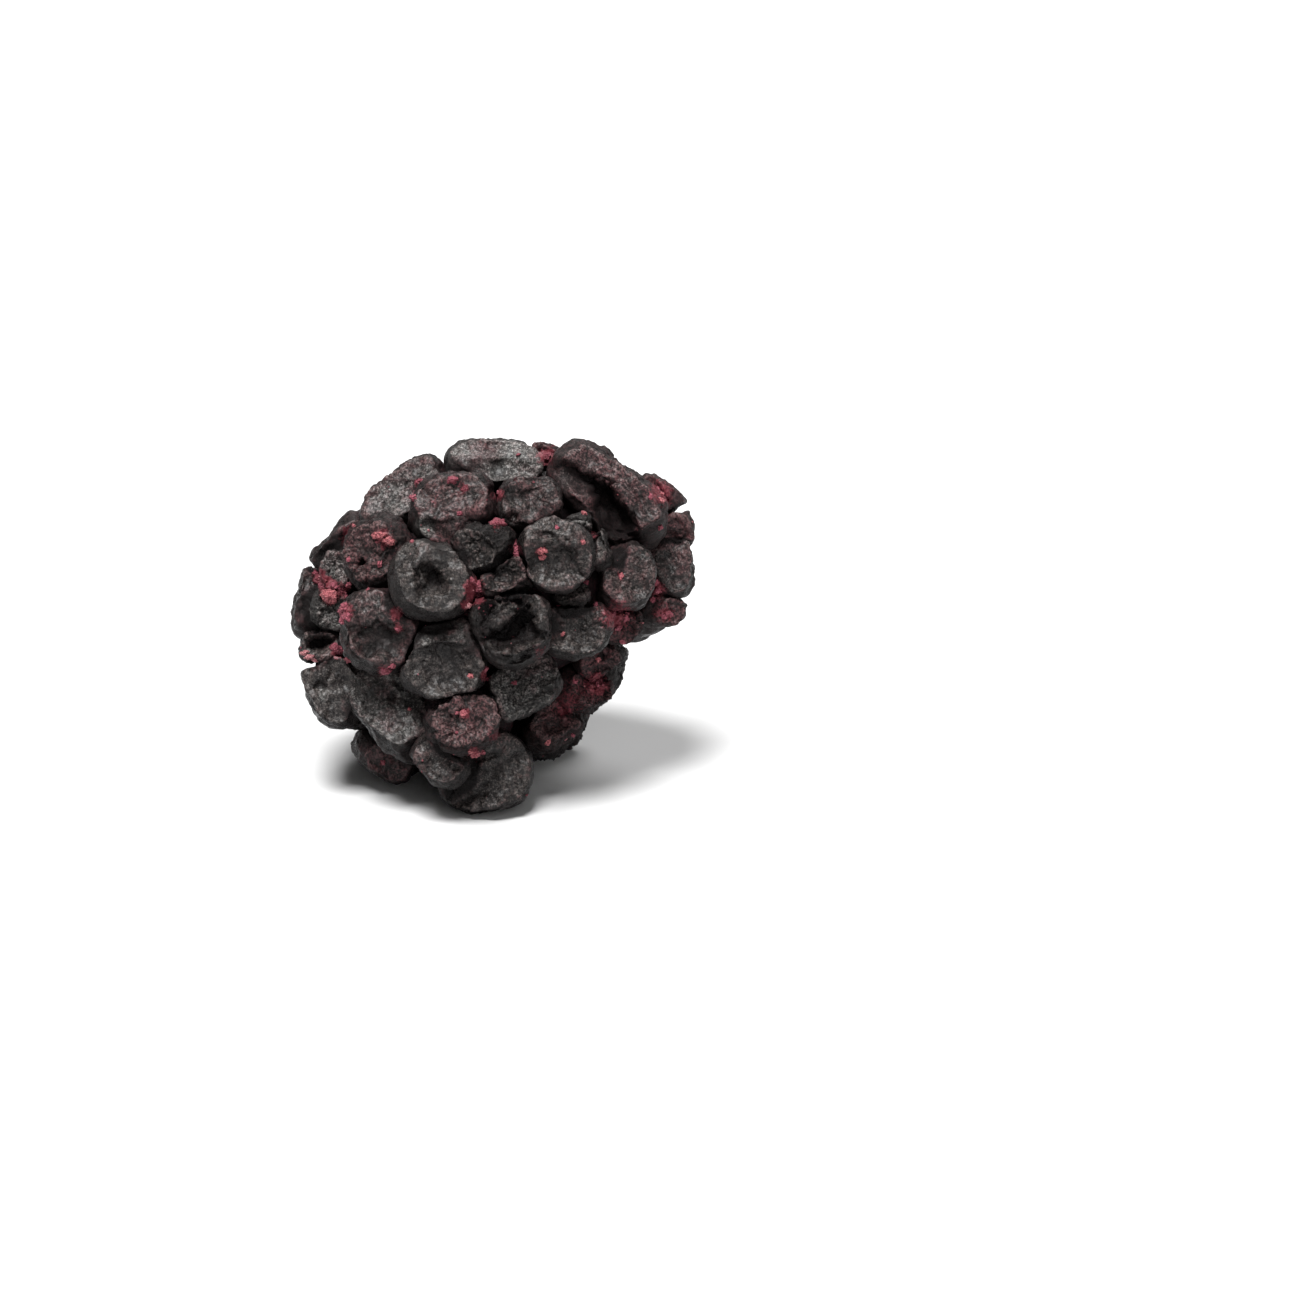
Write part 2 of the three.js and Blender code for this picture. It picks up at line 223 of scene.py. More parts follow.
class Maker:
    def __init__(self, tree):
        self.tree = tree

    def node(self, kind, settings=None, inputs=None, output=0):
        made = self.tree.nodes.new(kind)
        for name, value in (settings or {}).items():
            setattr(made, name, value)
        for name, value in (inputs or {}).items():
            self.put(made.inputs[name], value)
        return made if output is None else Wire(self, made.outputs[output])

    def put(self, socket, value):
        if isinstance(value, Wire):
            self.tree.links.new(value.socket, socket)
        else:
            socket.default_value = value

    def maths(self, operation, *values):
        return self.node("ShaderNodeMath", {"operation": operation}, dict(enumerate(values)))

    def vectors(self, operation, *values, scale=None, output=0):
        inputs = dict(enumerate(values))
        if scale is not None:
            inputs["Scale"] = scale
        return self.node("ShaderNodeVectorMath", {"operation": operation}, inputs, output)

    def vector(self, x, y, z):
        return self.node("ShaderNodeCombineXYZ", inputs={0: x, 1: y, 2: z})

    def ramp(self, value, low, high, start=0.0, end=1.0):  # a smooth step
        inputs = {"Value": value, "From Min": low, "From Max": high, "To Min": start, "To Max": end}
        return self.node("ShaderNodeMapRange", {"interpolation_type": "SMOOTHSTEP"}, inputs)

    def noise(self, where, scale, detail=2.0, rough=0.5, warp=0.0, output=0):
        inputs = {"Vector": where, "Scale": scale, "Detail": detail, "Roughness": rough}
        inputs["Distortion"] = warp
        return self.node("ShaderNodeTexNoise", inputs=inputs, output=output)

    def cells(self, where, scale, output=0):
        inputs = {"Vector": where, "Scale": scale}
        return self.node("ShaderNodeTexVoronoi", inputs=inputs, output=output)

    def mix(self, share, first, second):
        inputs = {0: share, 6: first, 7: second}
        return self.node("ShaderNodeMix", {"data_type": "RGBA"}, inputs, output=2)

    # Shaders only.
    def placeInMm(self):
        return self.node("ShaderNodeTexCoord", output="Object") * (1 / mm)

    def stored(self, name, output="Fac"):
        return self.node("ShaderNodeAttribute", {"attribute_name": name}, output=output)

    def bumped(self, height):  # a normal from a height in millimetres
        inputs = {"Strength": 1.0, "Distance": mm, "Height": height}
        return self.node("ShaderNodeBump", inputs=inputs)

    # Geometry only.
    def drawFloat(self, low, high, seed):
        inputs = {2: low, 3: high, "Seed": seed}
        return self.node("FunctionNodeRandomValue", {"data_type": "FLOAT"}, inputs, output=1)

    def drawVector(self, low, high, seed):
        inputs = {0: low, 1: high, "Seed": seed}
        return self.node("FunctionNodeRandomValue", {"data_type": "FLOAT_VECTOR"}, inputs)

    def attribute(self, name, kind="FLOAT"):
        return self.node("GeometryNodeInputNamedAttribute", {"data_type": kind}, {"Name": name})

    def sample(self, points, value, index, kind="FLOAT_VECTOR"):  # a value of one of the points
        settings = {"data_type": kind, "domain": "POINT"}
        inputs = {"Geometry": points, "Value": value, "Index": index}
        return self.node("GeometryNodeSampleIndex", settings, inputs)

    def pointsOf(self, thing):
        return self.node("GeometryNodeObjectInfo", inputs={"Object": thing}, output="Geometry")

    def realised(self, geometry):
        return self.node("GeometryNodeRealizeInstances", inputs={0: geometry})

    def surfacesOf(self, collection):
        surfaces = self.node("GeometryNodeCollectionInfo", inputs={"Collection": collection})
        return self.realised(surfaces)

    def outwardness(self):  # of a drupelet's surface: 1 at its outward pole, and less round its sides
        way = self.attribute("way", "FLOAT_VECTOR")
        return way.dot(self.attribute("out", "FLOAT_VECTOR"))

    def place(self):
        return self.node("GeometryNodeInputPosition")

    def store(self, geometry, name, value, kind="FLOAT"):
        settings = {"data_type": kind, "domain": "POINT"}
        inputs = {"Geometry": geometry, "Name": name, "Value": value}
        return self.node("GeometryNodeStoreNamedAttribute", settings, inputs)

    def move(self, geometry, to=None, by=None):
        inputs = {"Geometry": geometry}
        if to is not None:
            inputs["Position"] = to
        if by is not None:
            inputs["Offset"] = by
        return self.node("GeometryNodeSetPosition", inputs=inputs)

    def aboveFloor(self, geometry):
        here = self.place()
        high = here.part("Z").atLeast(0.0)
        return self.move(geometry, to=self.vector(here.part("X"), here.part("Y"), high))

    def tipBack(self, geometry):  # from the layout's millimetres to metres, on the floor
        turn = (math.radians(-layout["tippedBack"]), 0, 0)
        inputs = {"Geometry": geometry, "Rotation": turn, "Scale": (mm, mm, mm)}
        inputs["Translation"] = standsAt * mm
        return self.aboveFloor(self.node("GeometryNodeTransform", inputs=inputs))

    def finish(self, geometry, material):
        shaded = self.node("GeometryNodeSetShadeSmooth", inputs={"Geometry": geometry})
        inputs = {"Geometry": self.realised(shaded), "Material": material}
        self.put(self.exit.inputs[0], self.node("GeometryNodeSetMaterial", inputs=inputs))


def geometryTree(name, sizes, others):  # sizes are name: value, and others are name: socket kind
    kinds = {label: "Int" if isinstance(size, int) else "Float" for label, size in sizes.items()}
    kinds = {"Geometry": "Geometry", **kinds, **others, "Material": "Material"}
    tree = bpy.data.node_groups.new(name, "GeometryNodeTree")
    for label, kind in kinds.items():
        tree.interface.new_socket(label, in_out="INPUT", socket_type="NodeSocket" + kind)
    tree.interface.new_socket("Geometry", in_out="OUTPUT", socket_type="NodeSocketGeometry")
    maker = Maker(tree)
    entry = maker.node("NodeGroupInput", output=None)
    maker.exit = maker.node("NodeGroupOutput", output=None)
    wires = {socket.name: Wire(maker, socket) for socket in entry.outputs if socket.name}
    return maker, wires


def repeated(maker, times, carried, step):  # carried is name: (kind, start), and step renews it
    entry = maker.node("GeometryNodeRepeatInput", output=None)
    last = maker.node("GeometryNodeRepeatOutput", output=None)
    entry.pair_with_output(last)
    last.repeat_items.clear()
    for name, (kind, start) in carried.items():
        last.repeat_items.new(kind, name)
        maker.put(entry.inputs[name], start)
    maker.put(entry.inputs["Iterations"], times)
    now = {name: Wire(maker, entry.outputs[name]) for name in carried}
    for name, value in step(Wire(maker, entry.outputs["Iteration"]), now).items():
        maker.put(last.inputs[name], value)
    return {name: Wire(maker, last.outputs[name]) for name in carried}


def linked(name, mesh):
    thing = bpy.data.objects.new(name, mesh)
    bpy.context.scene.collection.objects.link(thing)
    return thing


def collected(pieces):
    collection = bpy.data.collections.new("surfaces")
    for piece in pieces:
        collection.objects.link(piece)
    return collection


def pointCloud(name, places, **attributes):  # an object of loose vertices that carry attributes
    mesh = bpy.data.meshes.new(name)
    mesh.from_pydata([tuple(place) for place in places], [], [])
    for label, values in attributes.items():
        isList = not isinstance(values[0], (int, float))
        layer = mesh.attributes.new(label, "FLOAT_VECTOR" if isList else "FLOAT", "POINT")
        flat = [part for value in values for part in value] if isList else values
        layer.data.foreach_set("vector" if isList else "value", flat)
    return linked(name, mesh)


def grown(name, source, tree, values):  # the tree's result on the source as a plain mesh object
    modifier = source.modifiers.new("grow", "NODES")
    modifier.node_group = tree
    for item in tree.interface.items_tree:
        if item.in_out == "INPUT" and item.name in values:
            modifier[item.identifier] = values[item.name]
    bpy.context.view_layer.update()
    result = source.evaluated_get(bpy.context.evaluated_depsgraph_get())
    mesh = bpy.data.meshes.new_from_object(result)
    source.modifiers.remove(modifier)
    mesh.name = name
    print(f"{name}: {sum(len(face.vertices) - 2 for face in mesh.polygons)} triangles")
    return linked(name, mesh)


# The drupelets of the best side: x and z of the middle, half width and half height, turn in
# degrees, how far back from the seat, then how rough, how mauve and how pale with bloom.
seen = [
    # along the top, from the left
    (-4.4, 15.8, 2.4, 1.25, 38, 0.4, 0.4, 0.6, 0.45),
    (0.2, 17.35, 2.4, 1.15, -3, -0.5, 0.3, 0.35, 0.85),
    (2.55, 17.7, 0.75, 0.6, 0, 0.4, 0.5, 0.9, 0.0),
    (5.3, 17.0, 1.2, 0.9, -35, 1.6, 0.6, 0.5, 0.4),
    (5.75, 15.75, 3.05, 1.65, -39, -0.2, 0.6, 0.75, 0.4),
    (8.4, 15.65, 1.35, 0.85, -45, 1.1, 0.3, 1.0, 0.0),
    (9.0, 14.15, 0.95, 1.2, 0, 1.1, 0.3, 0.8, 0.0),
    # the upper middle
    (-1.9, 15.1, 2.0, 1.65, 12, 0, 0.4, 0.65, -0.1),
    (1.85, 15.4, 1.5, 1.25, 4, 0, 0.5, 0.5, 0.1),
    (4.35, 14.2, 0.6, 0.6, 0, 0.1, 0.7, 0.2, 0.5),
    (5.3, 13.1, 0.6, 1.0, 10, 0.1, 0.5, 0.2, 0.1),
    (-5.6, 12.85, 1.65, 1.65, 25, 0, 1.0, 0.7, 0.3),
    (-2.95, 11.5, 1.95, 1.8, -12, -0.1, 0.15, 0.1, -0.15),
    (-0.3, 13.05, 1.35, 1.1, 0, 0.5, 0.9, 0.1, 0.0),
    (3.2, 12.75, 1.8, 1.65, -10, -0.1, 0.35, 0.25, 0.0),
    (0.9, 11.65, 1.25, 0.85, 20, 0.5, 0.9, 0.4, 0.0),
    # the left side
    (-7.45, 12.9, 2.4, 1.2, 48, 1.7, 0.3, 0.5, 0.1),
    (-8.75, 10.75, 1.15, 2.15, -15, 2.0, 0.3, 0.5, 0.1),
    (-7.65, 12.0, 0.85, 1.0, 0, -0.4, 0.8, 0.5, 0.6),
    (-8.1, 10.2, 0.95, 1.05, 0, -0.4, 0.9, 0.3, 0.8),
    (-8.5, 8.25, 1.15, 0.85, 0, 0.2, 0.6, 0.3, 0.0),
    (-7.95, 6.05, 1.85, 1.3, -68, 0, 0.15, 0.05, 0.2),
    # the middle row
    (-5.35, 9.15, 2.0, 1.95, 10, 0, 0.35, 0.5, 0.1),
    (-2.35, 7.7, 1.95, 1.9, 0, 0, 0.15, 0.05, 0.2),
    (1.15, 9.35, 1.75, 1.85, 25, 0, 0.3, 0.2, 0.0),
    (4.0, 10.85, 0.95, 0.5, 10, 0.4, 0.8, 0.1, 0.0),
    (4.1, 9.15, 1.65, 1.35, -8, 0, 0.4, 0.15, 0.0),
    # the right side
    (6.75, 11.7, 1.35, 1.55, 0, 0, 0.4, 0.4, 0.0),
    (8.85, 12.35, 1.1, 1.8, 8, 0.6, 0.4, 0.5, 0.3),
    (9.6, 11.6, 0.35, 0.45, 0, 1.6, 0.4, 0.2, 0.0),
    (6.4, 9.45, 0.95, 1.0, 0, 0.1, 1.0, 1.0, 0.0),
    (8.4, 10.1, 1.15, 0.85, 0, 0.5, 0.5, 0.8, 0.0),
    # the lower lobe
    (-4.95, 4.95, 2.42, 1.42, -54, -0.7, 0.2, 0.25, 0.55),
    (-1.45, 4.4, 1.65, 1.35, 15, 0.3, 0.8, 0.7, 0.0),
    (-2.45, 2.6, 1.45, 1.1, -40, 0.0, 0.2, 0.35, 0.0),
    (-5.4, 2.75, 1.55, 1.0, -30, 1.4, 0.5, 0.7, 0.0),
    (-0.4, 1.95, 2.25, 1.95, 0, 0.4, 0.4, 0.15, 0.0),
    (1.55, 6.2, 1.85, 1.3, 22, -1.2, 0.6, 0.15, 0.75),
    (2.95, 4.4, 1.65, 1.05, 36, 0.7, 0.9, 0.8, 0.1),
    (4.45, 6.2, 1.35, 1.35, 40, 0.4, 0.9, 0.9, 0.1),
    (5.1, 7.7, 1.1, 0.9, 30, 0.5, 0.9, 0.9, 0.0),
]
# Pressed into them, by their number from 0: x, z, depth, half width, half height, turn and pucker.
folds = {
    0: [(0.2, 0.1, 0.2, 0.9, 0.6, 35, 0.05), (-0.6, -0.4, 0.15, 0.5, 0.25, 30, 0)],
    1: [(0.4, -0.25, 0.2, 1.2, 0.4, 8, 0.05), (-1.2, -0.3, 0.15, 0.6, 0.2, 10, 0),
        (-0.5, 0.45, -0.18, 1.1, 0.22, 14, 0)],
    4: [(0.2, -0.85, 2.2, 1.6, 0.68, -62, 0.1), (-1.5, 0.9, 0.7, 1.1, 0.65, -30, 0.15),
        (-0.45, 0.6, 0.4, 1.3, 0.25, -28, 0), (-0.6, -0.4, -0.3, 1.1, 0.16, -48, 0),
        (1.75, -0.5, 0.2, 0.9, 0.1, -65, 0), (-1.3, 0.2, 0.25, 0.9, 0.12, -50, 0)],
    7: [(-1.1, -1.0, 0.25, 0.5, 0.35, -20, 0.05), (0.3, 0.2, 0.2, 1.0, 0.8, 0, 0.05)],
    8: [(-0.75, -0.75, 0.45, 0.35, 0.3, 0, 0.1), (0.2, 0.2, 0.2, 0.8, 0.5, 0, 0.1)],
    11: [(-0.8, -0.5, 0.6, 0.26, 0.26, 0, 0.15), (-0.6, -1.0, 0.3, 0.15, 0.5, 10, 0),
         (0.5, -0.4, 0.3, 0.5, 0.3, 40, 0.05)],
    12: [(0.1, 0.05, 0.55, 0.85, 0.85, 0, 0.15), (0.1, 0.1, 0.45, 0.35, 0.4, 20, 0),
         (-0.25, 0.65, 0.35, 0.32, 0.22, 0, 0), (-0.4, -0.4, 0.35, 0.32, 0.25, 0, 0),
         (0.55, -0.25, 0.2, 0.2, 0.3, 0, 0), (-0.65, 0.15, 0.2, 0.2, 0.3, 0, 0)],
    13: [(0, 0, 0.3, 0.5, 0.4, 20, 0.2), (-0.5, 0.4, 0.2, 0.3, 0.2, 0, 0.1)],
    14: [(0.1, -0.35, 0.5, 1.25, 0.95, -10, 0), (-0.5, 0.95, 0.28, 0.5, 0.22, 0, 0),
         (0.6, 0.6, -0.1, 0.9, 0.14, 0, 0)],
    15: [(0, 0.1, 0.3, 0.6, 0.3, 20, 0.2)],
    19: [(0, 0, 0.25, 0.45, 0.5, 0, 0.2)],
    20: [(-0.05, 0.15, 0.85, 0.7, 0.36, 8, 0.05), (-0.85, -0.4, -0.22, 0.45, 0.14, -35, 0)],
    21: [(-0.6, 0.1, 0.28, 0.34, 0.3, 0, 0.15), (-0.3, 0.65, 0.15, 0.22, 0.2, 0, 0),
         (0.1, -0.2, 0.25, 0.9, 1.2, 0, 0)],
    22: [(-0.05, -0.55, 0.62, 1.45, 0.72, 3, 0.05), (-0.2, -1.5, -0.14, 1.2, 0.2, 0, 0),
         (-1.3, 0.1, 0.2, 0.3, 0.8, 20, 0)],
    23: [(0.1, -0.45, 0.5, 1.45, 1.25, 0, 0), (0.2, 0.75, -0.1, 1.1, 0.16, 0, 0)],
    24: [(-0.35, -0.1, 1.7, 1.4, 1.35, 10, 0.1), (-0.45, 0.45, -1.15, 0.95, 0.6, 35, 0),
         (-0.6, 0.65, 0.25, 0.9, 0.1, 42, 0), (-0.2, 0.15, 0.25, 0.8, 0.1, 48, 0),
         (1.35, 0.3, -0.3, 0.3, 0.9, 10, 0.1), (-0.6, -1.5, -0.2, 1.0, 0.25, 0, 0.1)],
    26: [(0.2, -0.1, 0.42, 1.3, 0.85, -5, 0), (-0.9, -0.4, 0.1, 0.5, 0.3, 0, 0)],
    27: [(0.1, -0.1, 0.3, 0.9, 1.0, 0, 0)],
    28: [(0.1, 0.4, 0.15, 0.6, 0.8, 0, 0.05), (0, -0.8, 0.15, 0.7, 0.3, 0, 0)],
    31: [(0, 0, 0.15, 0.7, 0.5, 0, 0)],
    32: [(0.05, 0.75, 0.32, 0.34, 0.28, 0, 0.02), (0, 0.3, 0.3, 1.3, 1.0, -50, 0),
         (0.6, 0.8, 0.1, 0.3, 0.25, 0, 0)],
    33: [(0.1, 0.1, 0.25, 1.2, 0.9, 15, 0.02)],
    34: [(0, 0, 0.25, 1.0, 0.7, -40, 0)],
    36: [(1.2, 0.3, 0.3, 0.7, 0.9, -20, 0.3), (-0.5, -0.4, 0.3, 1.2, 0.9, 30, 0),
         (0.2, 0.9, 0.25, 1.1, 0.18, 25, 0)],
    37: [(0.05, 0.15, 0.42, 1.3, 0.7, 20, 0.05), (0.2, -0.72, -0.16, 1.3, 0.12, 20, 0)],
    38: [(-0.6, 0.2, -0.2, 0.5, 0.1, 25, 0), (0.3, -0.1, 0.2, 0.6, 0.4, 30, 0.2)],
    39: [(0, 0, 0.2, 0.5, 0.5, 0, 0.25)],
}
facets = {  # flats on their faces: how far each turns right and up, and how far out it lies
    0: [(-0.3, 0.5, 0.8)], 1: [(0.1, 0.25, 0.8), (0, 0.9, 0.9)], 4: [(0.25, 0.4, 0.76)],
    7: [(-0.1, 0.35, 0.74), (0.1, -0.5, 0.86)], 8: [(0.1, 0.15, 0.72), (0.2, 0.8, 0.88)],
    11: [(-0.3, 0.1, 0.8)], 12: [(0.05, 0.1, 0.74), (-0.5, 0.7, 0.86)],
    14: [(0.1, -0.05, 0.66), (0, 0.75, 0.84)], 18: [(-0.3, 0.2, 0.7)], 20: [(-0.1, 0.1, 0.85)],
    21: [(0.1, 0.1, 0.66), (-0.7, 0.2, 0.84)], 22: [(-0.1, 0.15, 0.74), (0.3, -0.5, 0.9)],
    23: [(0.02, -0.08, 0.64), (-0.12, 0.7, 0.76)], 24: [(0.1, 0.1, 0.7)],
    26: [(0.05, 0.0, 0.62), (0.1, 0.75, 0.8)], 27: [(0.2, 0.1, 0.66)],
    28: [(0.25, 0.2, 0.68), (-0.7, 0.4, 0.84)], 31: [(0.5, -0.2, 0.8)],
    32: [(-0.15, 0.3, 0.64), (0.6, 0.6, 0.82)], 33: [(0.1, 0.15, 0.72), (0.6, 0.5, 0.85)],
    34: [(-0.1, 0.05, 0.72)], 36: [(-0.2, -0.1, 0.72), (0.5, 0.1, 0.8)],
    37: [(0.0, 0.55, 0.76), (0.2, -0.4, 0.88)], 38: [(0.1, 0.3, 0.8)], 39: [(0.4, 0.1, 0.8)],
}
patches = [  # on the best side: x, z, reach, then how mauve, how pale and how crimson
    (2.7, 17.75, 0.5, 0, 0, 1.0), (-1.9, 16.45, 0.55, 0, 0, 0.55), (-3.8, 15.7, 0.4, 0, 0, 0.7),
    (-3.65, 16.45, 0.25, 0, 0, 0.7), (-5.25, 13.6, 0.5, 0, 0, 0.8), (-7.35, 13.45, 0.3, 0, 0, 0.7),
    (-8.1, 10.8, 0.4, 0, 0, 0.9), (-7.15, 9.95, 0.5, 0, 0, 1.0), (-8.75, 11.8, 0.45, 0, 0, 0.75),
    (-8.2, 11.3, 0.45, 0, 0, 0.85), (-7.4, 11.1, 0.4, 0, 0, 0.8), (-7.2, 14.0, 0.5, 0, 0, 0.6),
    (-2.6, 16.0, 0.5, 0, 0, 0.5), (-1.3, 16.05, 0.35, 0, 0, 0.8), (1.3, 16.4, 0.35, 0, 0, 0.5),
    (2.2, 16.5, 0.35, 0, 0, 0.5), (-4.6, 9.9, 0.35, 0, 0, 0.9), (-5.0, 4.4, 0.5, 0.6, 0, 0.1),
    (-2.9, 15.3, 0.4, 0, 0, 0.4), (-0.3, 17.9, 0.7, 0.8, -0.6, 0), (-0.8, 11.25, 0.45, 0, 0, 1.0),
    (-0.65, 10.7, 0.4, 0, 0, 1.0), (-1.2, 10.25, 0.3, 0, 0, 0.7), (1.2, 13.05, 0.3, 0, 0, 0.7),
    (2.5, 12.95, 0.25, 0, 0, 0.8), (0.3, 15.8, 0.35, 0, 0, 0.8), (0.3, 14.3, 0.3, 0, 0, 0.6),
    (5.0, 13.9, 0.25, 0, 0, 0.6), (6.4, 11.75, 0.2, 0, 0, 0.8), (6.2, 9.75, 0.9, 0.4, 0, 0.7),
    (8.15, 11.1, 0.5, 0.3, 0, 0.7), (8.55, 9.9, 0.6, 0.4, 0, 0.6), (8.4, 15.95, 0.7, 0.4, 0, 0.75),
    (-4.55, 9.15, 0.25, 0, 0, 0.9), (-5.3, 7.15, 0.35, 0, 0, 0.9), (-7.7, 7.95, 0.35, 0, 0, 0.8),
    (-0.25, 6.85, 0.3, 0, 0, 0.9), (-1.3, 4.95, 0.3, 0, 0, 0.8), (-0.8, 2.95, 0.4, 0, 0, 0.9),
    (0.2, 3.85, 0.5, 0, 0, 0.5), (4.4, 6.3, 1.2, 0.7, 0, 0.3), (5.3, 6.4, 0.5, 0, 0, 0.9),
    (3.6, 5.2, 0.8, 0.4, 0, 0.4), (9.1, 14.6, 0.6, 0.4, 0, 0.3), (2.4, 8.0, 0.5, 0.6, 0, 0.4),
    (3.3, 10.3, 0.2, 0, 0, 0.5), (-3.35, 14.05, 0.5, -0.6, 3.0, 0), (-8.2, 9.9, 0.5, 0, 1.4, 0),
    (-7.9, 12.2, 0.4, 0, 1.1, 0), (-9.35, 7.7, 0.4, -0.4, 2.0, 0), (-8.4, 5.85, 0.35, 0, 0.9, 0),
    (-2.95, 8.95, 0.35, 0, 0.4, 0), (3.6, 16.45, 0.45, 0, 0.5, 0), (4.4, 14.3, 0.4, 0, 0.5, 0),
    (1.15, 18.1, 0.4, 0, 0.5, 0), (-4.75, 16.05, 0.8, 0, 0.4, 0), (2.5, 9.75, 0.3, 0, 0.4, 0),
    (2.1, 4.7, 0.3, 0, 0.7, 0), (-3.2, 8.7, 0.4, 0, 0.7, 0), (-2.4, 9.2, 0.4, 0, 0.7, 0),
    (-1.4, 9.1, 0.4, 0, 0.5, 0), (-5.6, 6.9, 0.5, 0, 0.7, 0), (-4.3, 6.0, 0.35, 0, 0.8, 0),
    (-5.0, 15.3, 0.7, 0, 0.5, 0), (-3.2, 16.9, 0.5, 0, 0.5, 0), (-0.2, 17.5, 0.6, 0, 0.4, 0),
    (1.6, 17.3, 0.5, 0, 0.5, 0), (3.6, 17.0, 0.5, 0, 0.6, 0), (-6.3, 11.0, 0.5, 0, 0.4, 0),
]
patchFlatness = 0.15  # how much a difference in depth counts
resting = [(-5.0, 7.5, 1.9), (2.7, 7.9, 1.85)]  # x, y and half width of those it rests on behind
hidden = {  # on the other sides; a pair is the least, and how much more a draw may add
    "radii": (1.08, 0.98, 0.86),  # across, up and out, for each millimetre of its size
    "dentDepth": (0.1, 0.4),
    "dentWidth": (0.35, 0.2),
    "dentAt": 0.9,
    "dentPucker": 0.2,
    "facets": [(9, 0.74, 0.12), (21, 0.86, 0.0)],  # its draws' start, and how far out it lies
    "crowding": 1.12,  # how much it outgrows its room
}
drupeletForm = {
    "Cells": 32,  # across each face of the cube that it is rounded from
    "Lift": 0.42,  # how far its vertices gather on its outward side
    "Warp": 0.4,
    "Cushion": 2.5,  # 2 is an ellipsoid, and more is boxier
    "Fill": 0.13,  # how much further it swells towards its neighbours
    "Rounding": 26.0,  # how sharp its edges are
    "Gap": 0.6,  # between two neighbours' walls at the outside
    "Lip": 0.15,  # how far its rim stands up
    "Crumple": 0.85,  # millimetres, over about a millimetre and a half
    "Wrinkle": 0.12,
    "Crease": 0.1,
    "Lumps": 0.22,  # over a third of a millimetre
    "Grain": 0.13,
    "Pits": 0.16,
    "Wall slots": 14,
    "Mark slots": 6,
}
drupeletFaces = {
    "reach": 1.3,  # how near another is, for the two to share a wall
    "press": 0.02,  # how far two neighbours run into each other further in
    "flat": 0.16,  # how deep its face is pressed in, as a share of its lesser half width
    "flatWidth": 0.78,
    "flatPucker": 0.05,
    "facet": 0.76,  # how far out an unlisted facet lies
}
drupeletGroups = 5  # pieces that the drupelets are shared between
spread = {
    "tries": 400,  # points tried
    "front": 0.4,  # none is nearer to the best side than this y
    "apart": 2.9,  # the least that two start apart
    "clear": 0.95,  # how much of its room must be clear of the placed ones
    "reach": 3.9,  # how far apart they push each other
    "rounds": 80,
    "step": 0.3,
    "smallest": 1.0,
    "largest": 2.15,
}
stem = {"towards": (0.5, 0.85, 0.1), "radius": 2.0}
down = tipped.inverted() @ Vector((0, 0, -1))
stemOut = Vector(stem["towards"]).normalized()


def roomBelow(point):
    return standsAt.z - point.dot(down)


def ownRadius(drupelet, direction):  # before its neighbours flatten it
    power = drupeletForm["Cushion"]
    ways = zip(drupelet["axes"], drupelet["radii"])
    return sum(abs(direction.dot(axis) / radius) ** power for axis, radius in ways) ** (-1 / power)


def flatMark(axes, halves, at, number):  # the press that flattens a drupelet's face
    wide, high = (half * drupeletFaces["flatWidth"] for half in halves)
    across, up, facing = axes
    depth = min(halves) * drupeletFaces["flat"] * (0.5 + golden(number + 9))
    return {"at": at, "across": across / wide, "up": up / high, "facing": facing,
            "depth": depth, "pucker": drupeletFaces["flatPucker"]}


def acrossAt(turn):  # across the best side, turned by so many degrees
    return Vector((math.cos(math.radians(turn)), 0, math.sin(math.radians(turn))))


def seenMark(x, z, depth, wide, high, turn, pucker):
    across = acrossAt(turn)
    up = Vector((-across.z, 0, across.x))
    return {"at": Vector((x, 0, z)), "across": across / wide, "up": up / high,
            "facing": Vector((0, -1, 0)), "depth": depth, "pucker": pucker}


def seenDrupelet(row, number):
    x, z, half, tall, turn, back, *look = row
    middle = Vector((x, seatDepth(x, z) + back, z))
    across = acrossAt(turn)
    through = Vector((0, -1, 0))
    out = (middle - hub).normalized()
    facing = max(out.dot(through), 0)
    deep = max(half, tall) + (min(half, tall) - max(half, tall)) * facing
    axes = (across, through.cross(across), through)
    marks = [seenMark(*fold) for fold in folds.get(number, [])]
    marks = marks or [flatMark(axes, (half, tall), Vector(), number)]
    unlisted = [(golden(number) - 0.5, golden(number + 4) - 0.5, drupeletFaces["facet"])]
    faces = facets.get(number, unlisted)
    faces = [(Vector((right, -1, up)).normalized(), share) for right, up, share in faces]
    return {"middle": middle, "out": out, "axes": axes, "radii": (half, tall, deep),
            "marks": marks, "faces": faces, "look": look}


def drawn(least, more, number):
    return least + more * golden(number)


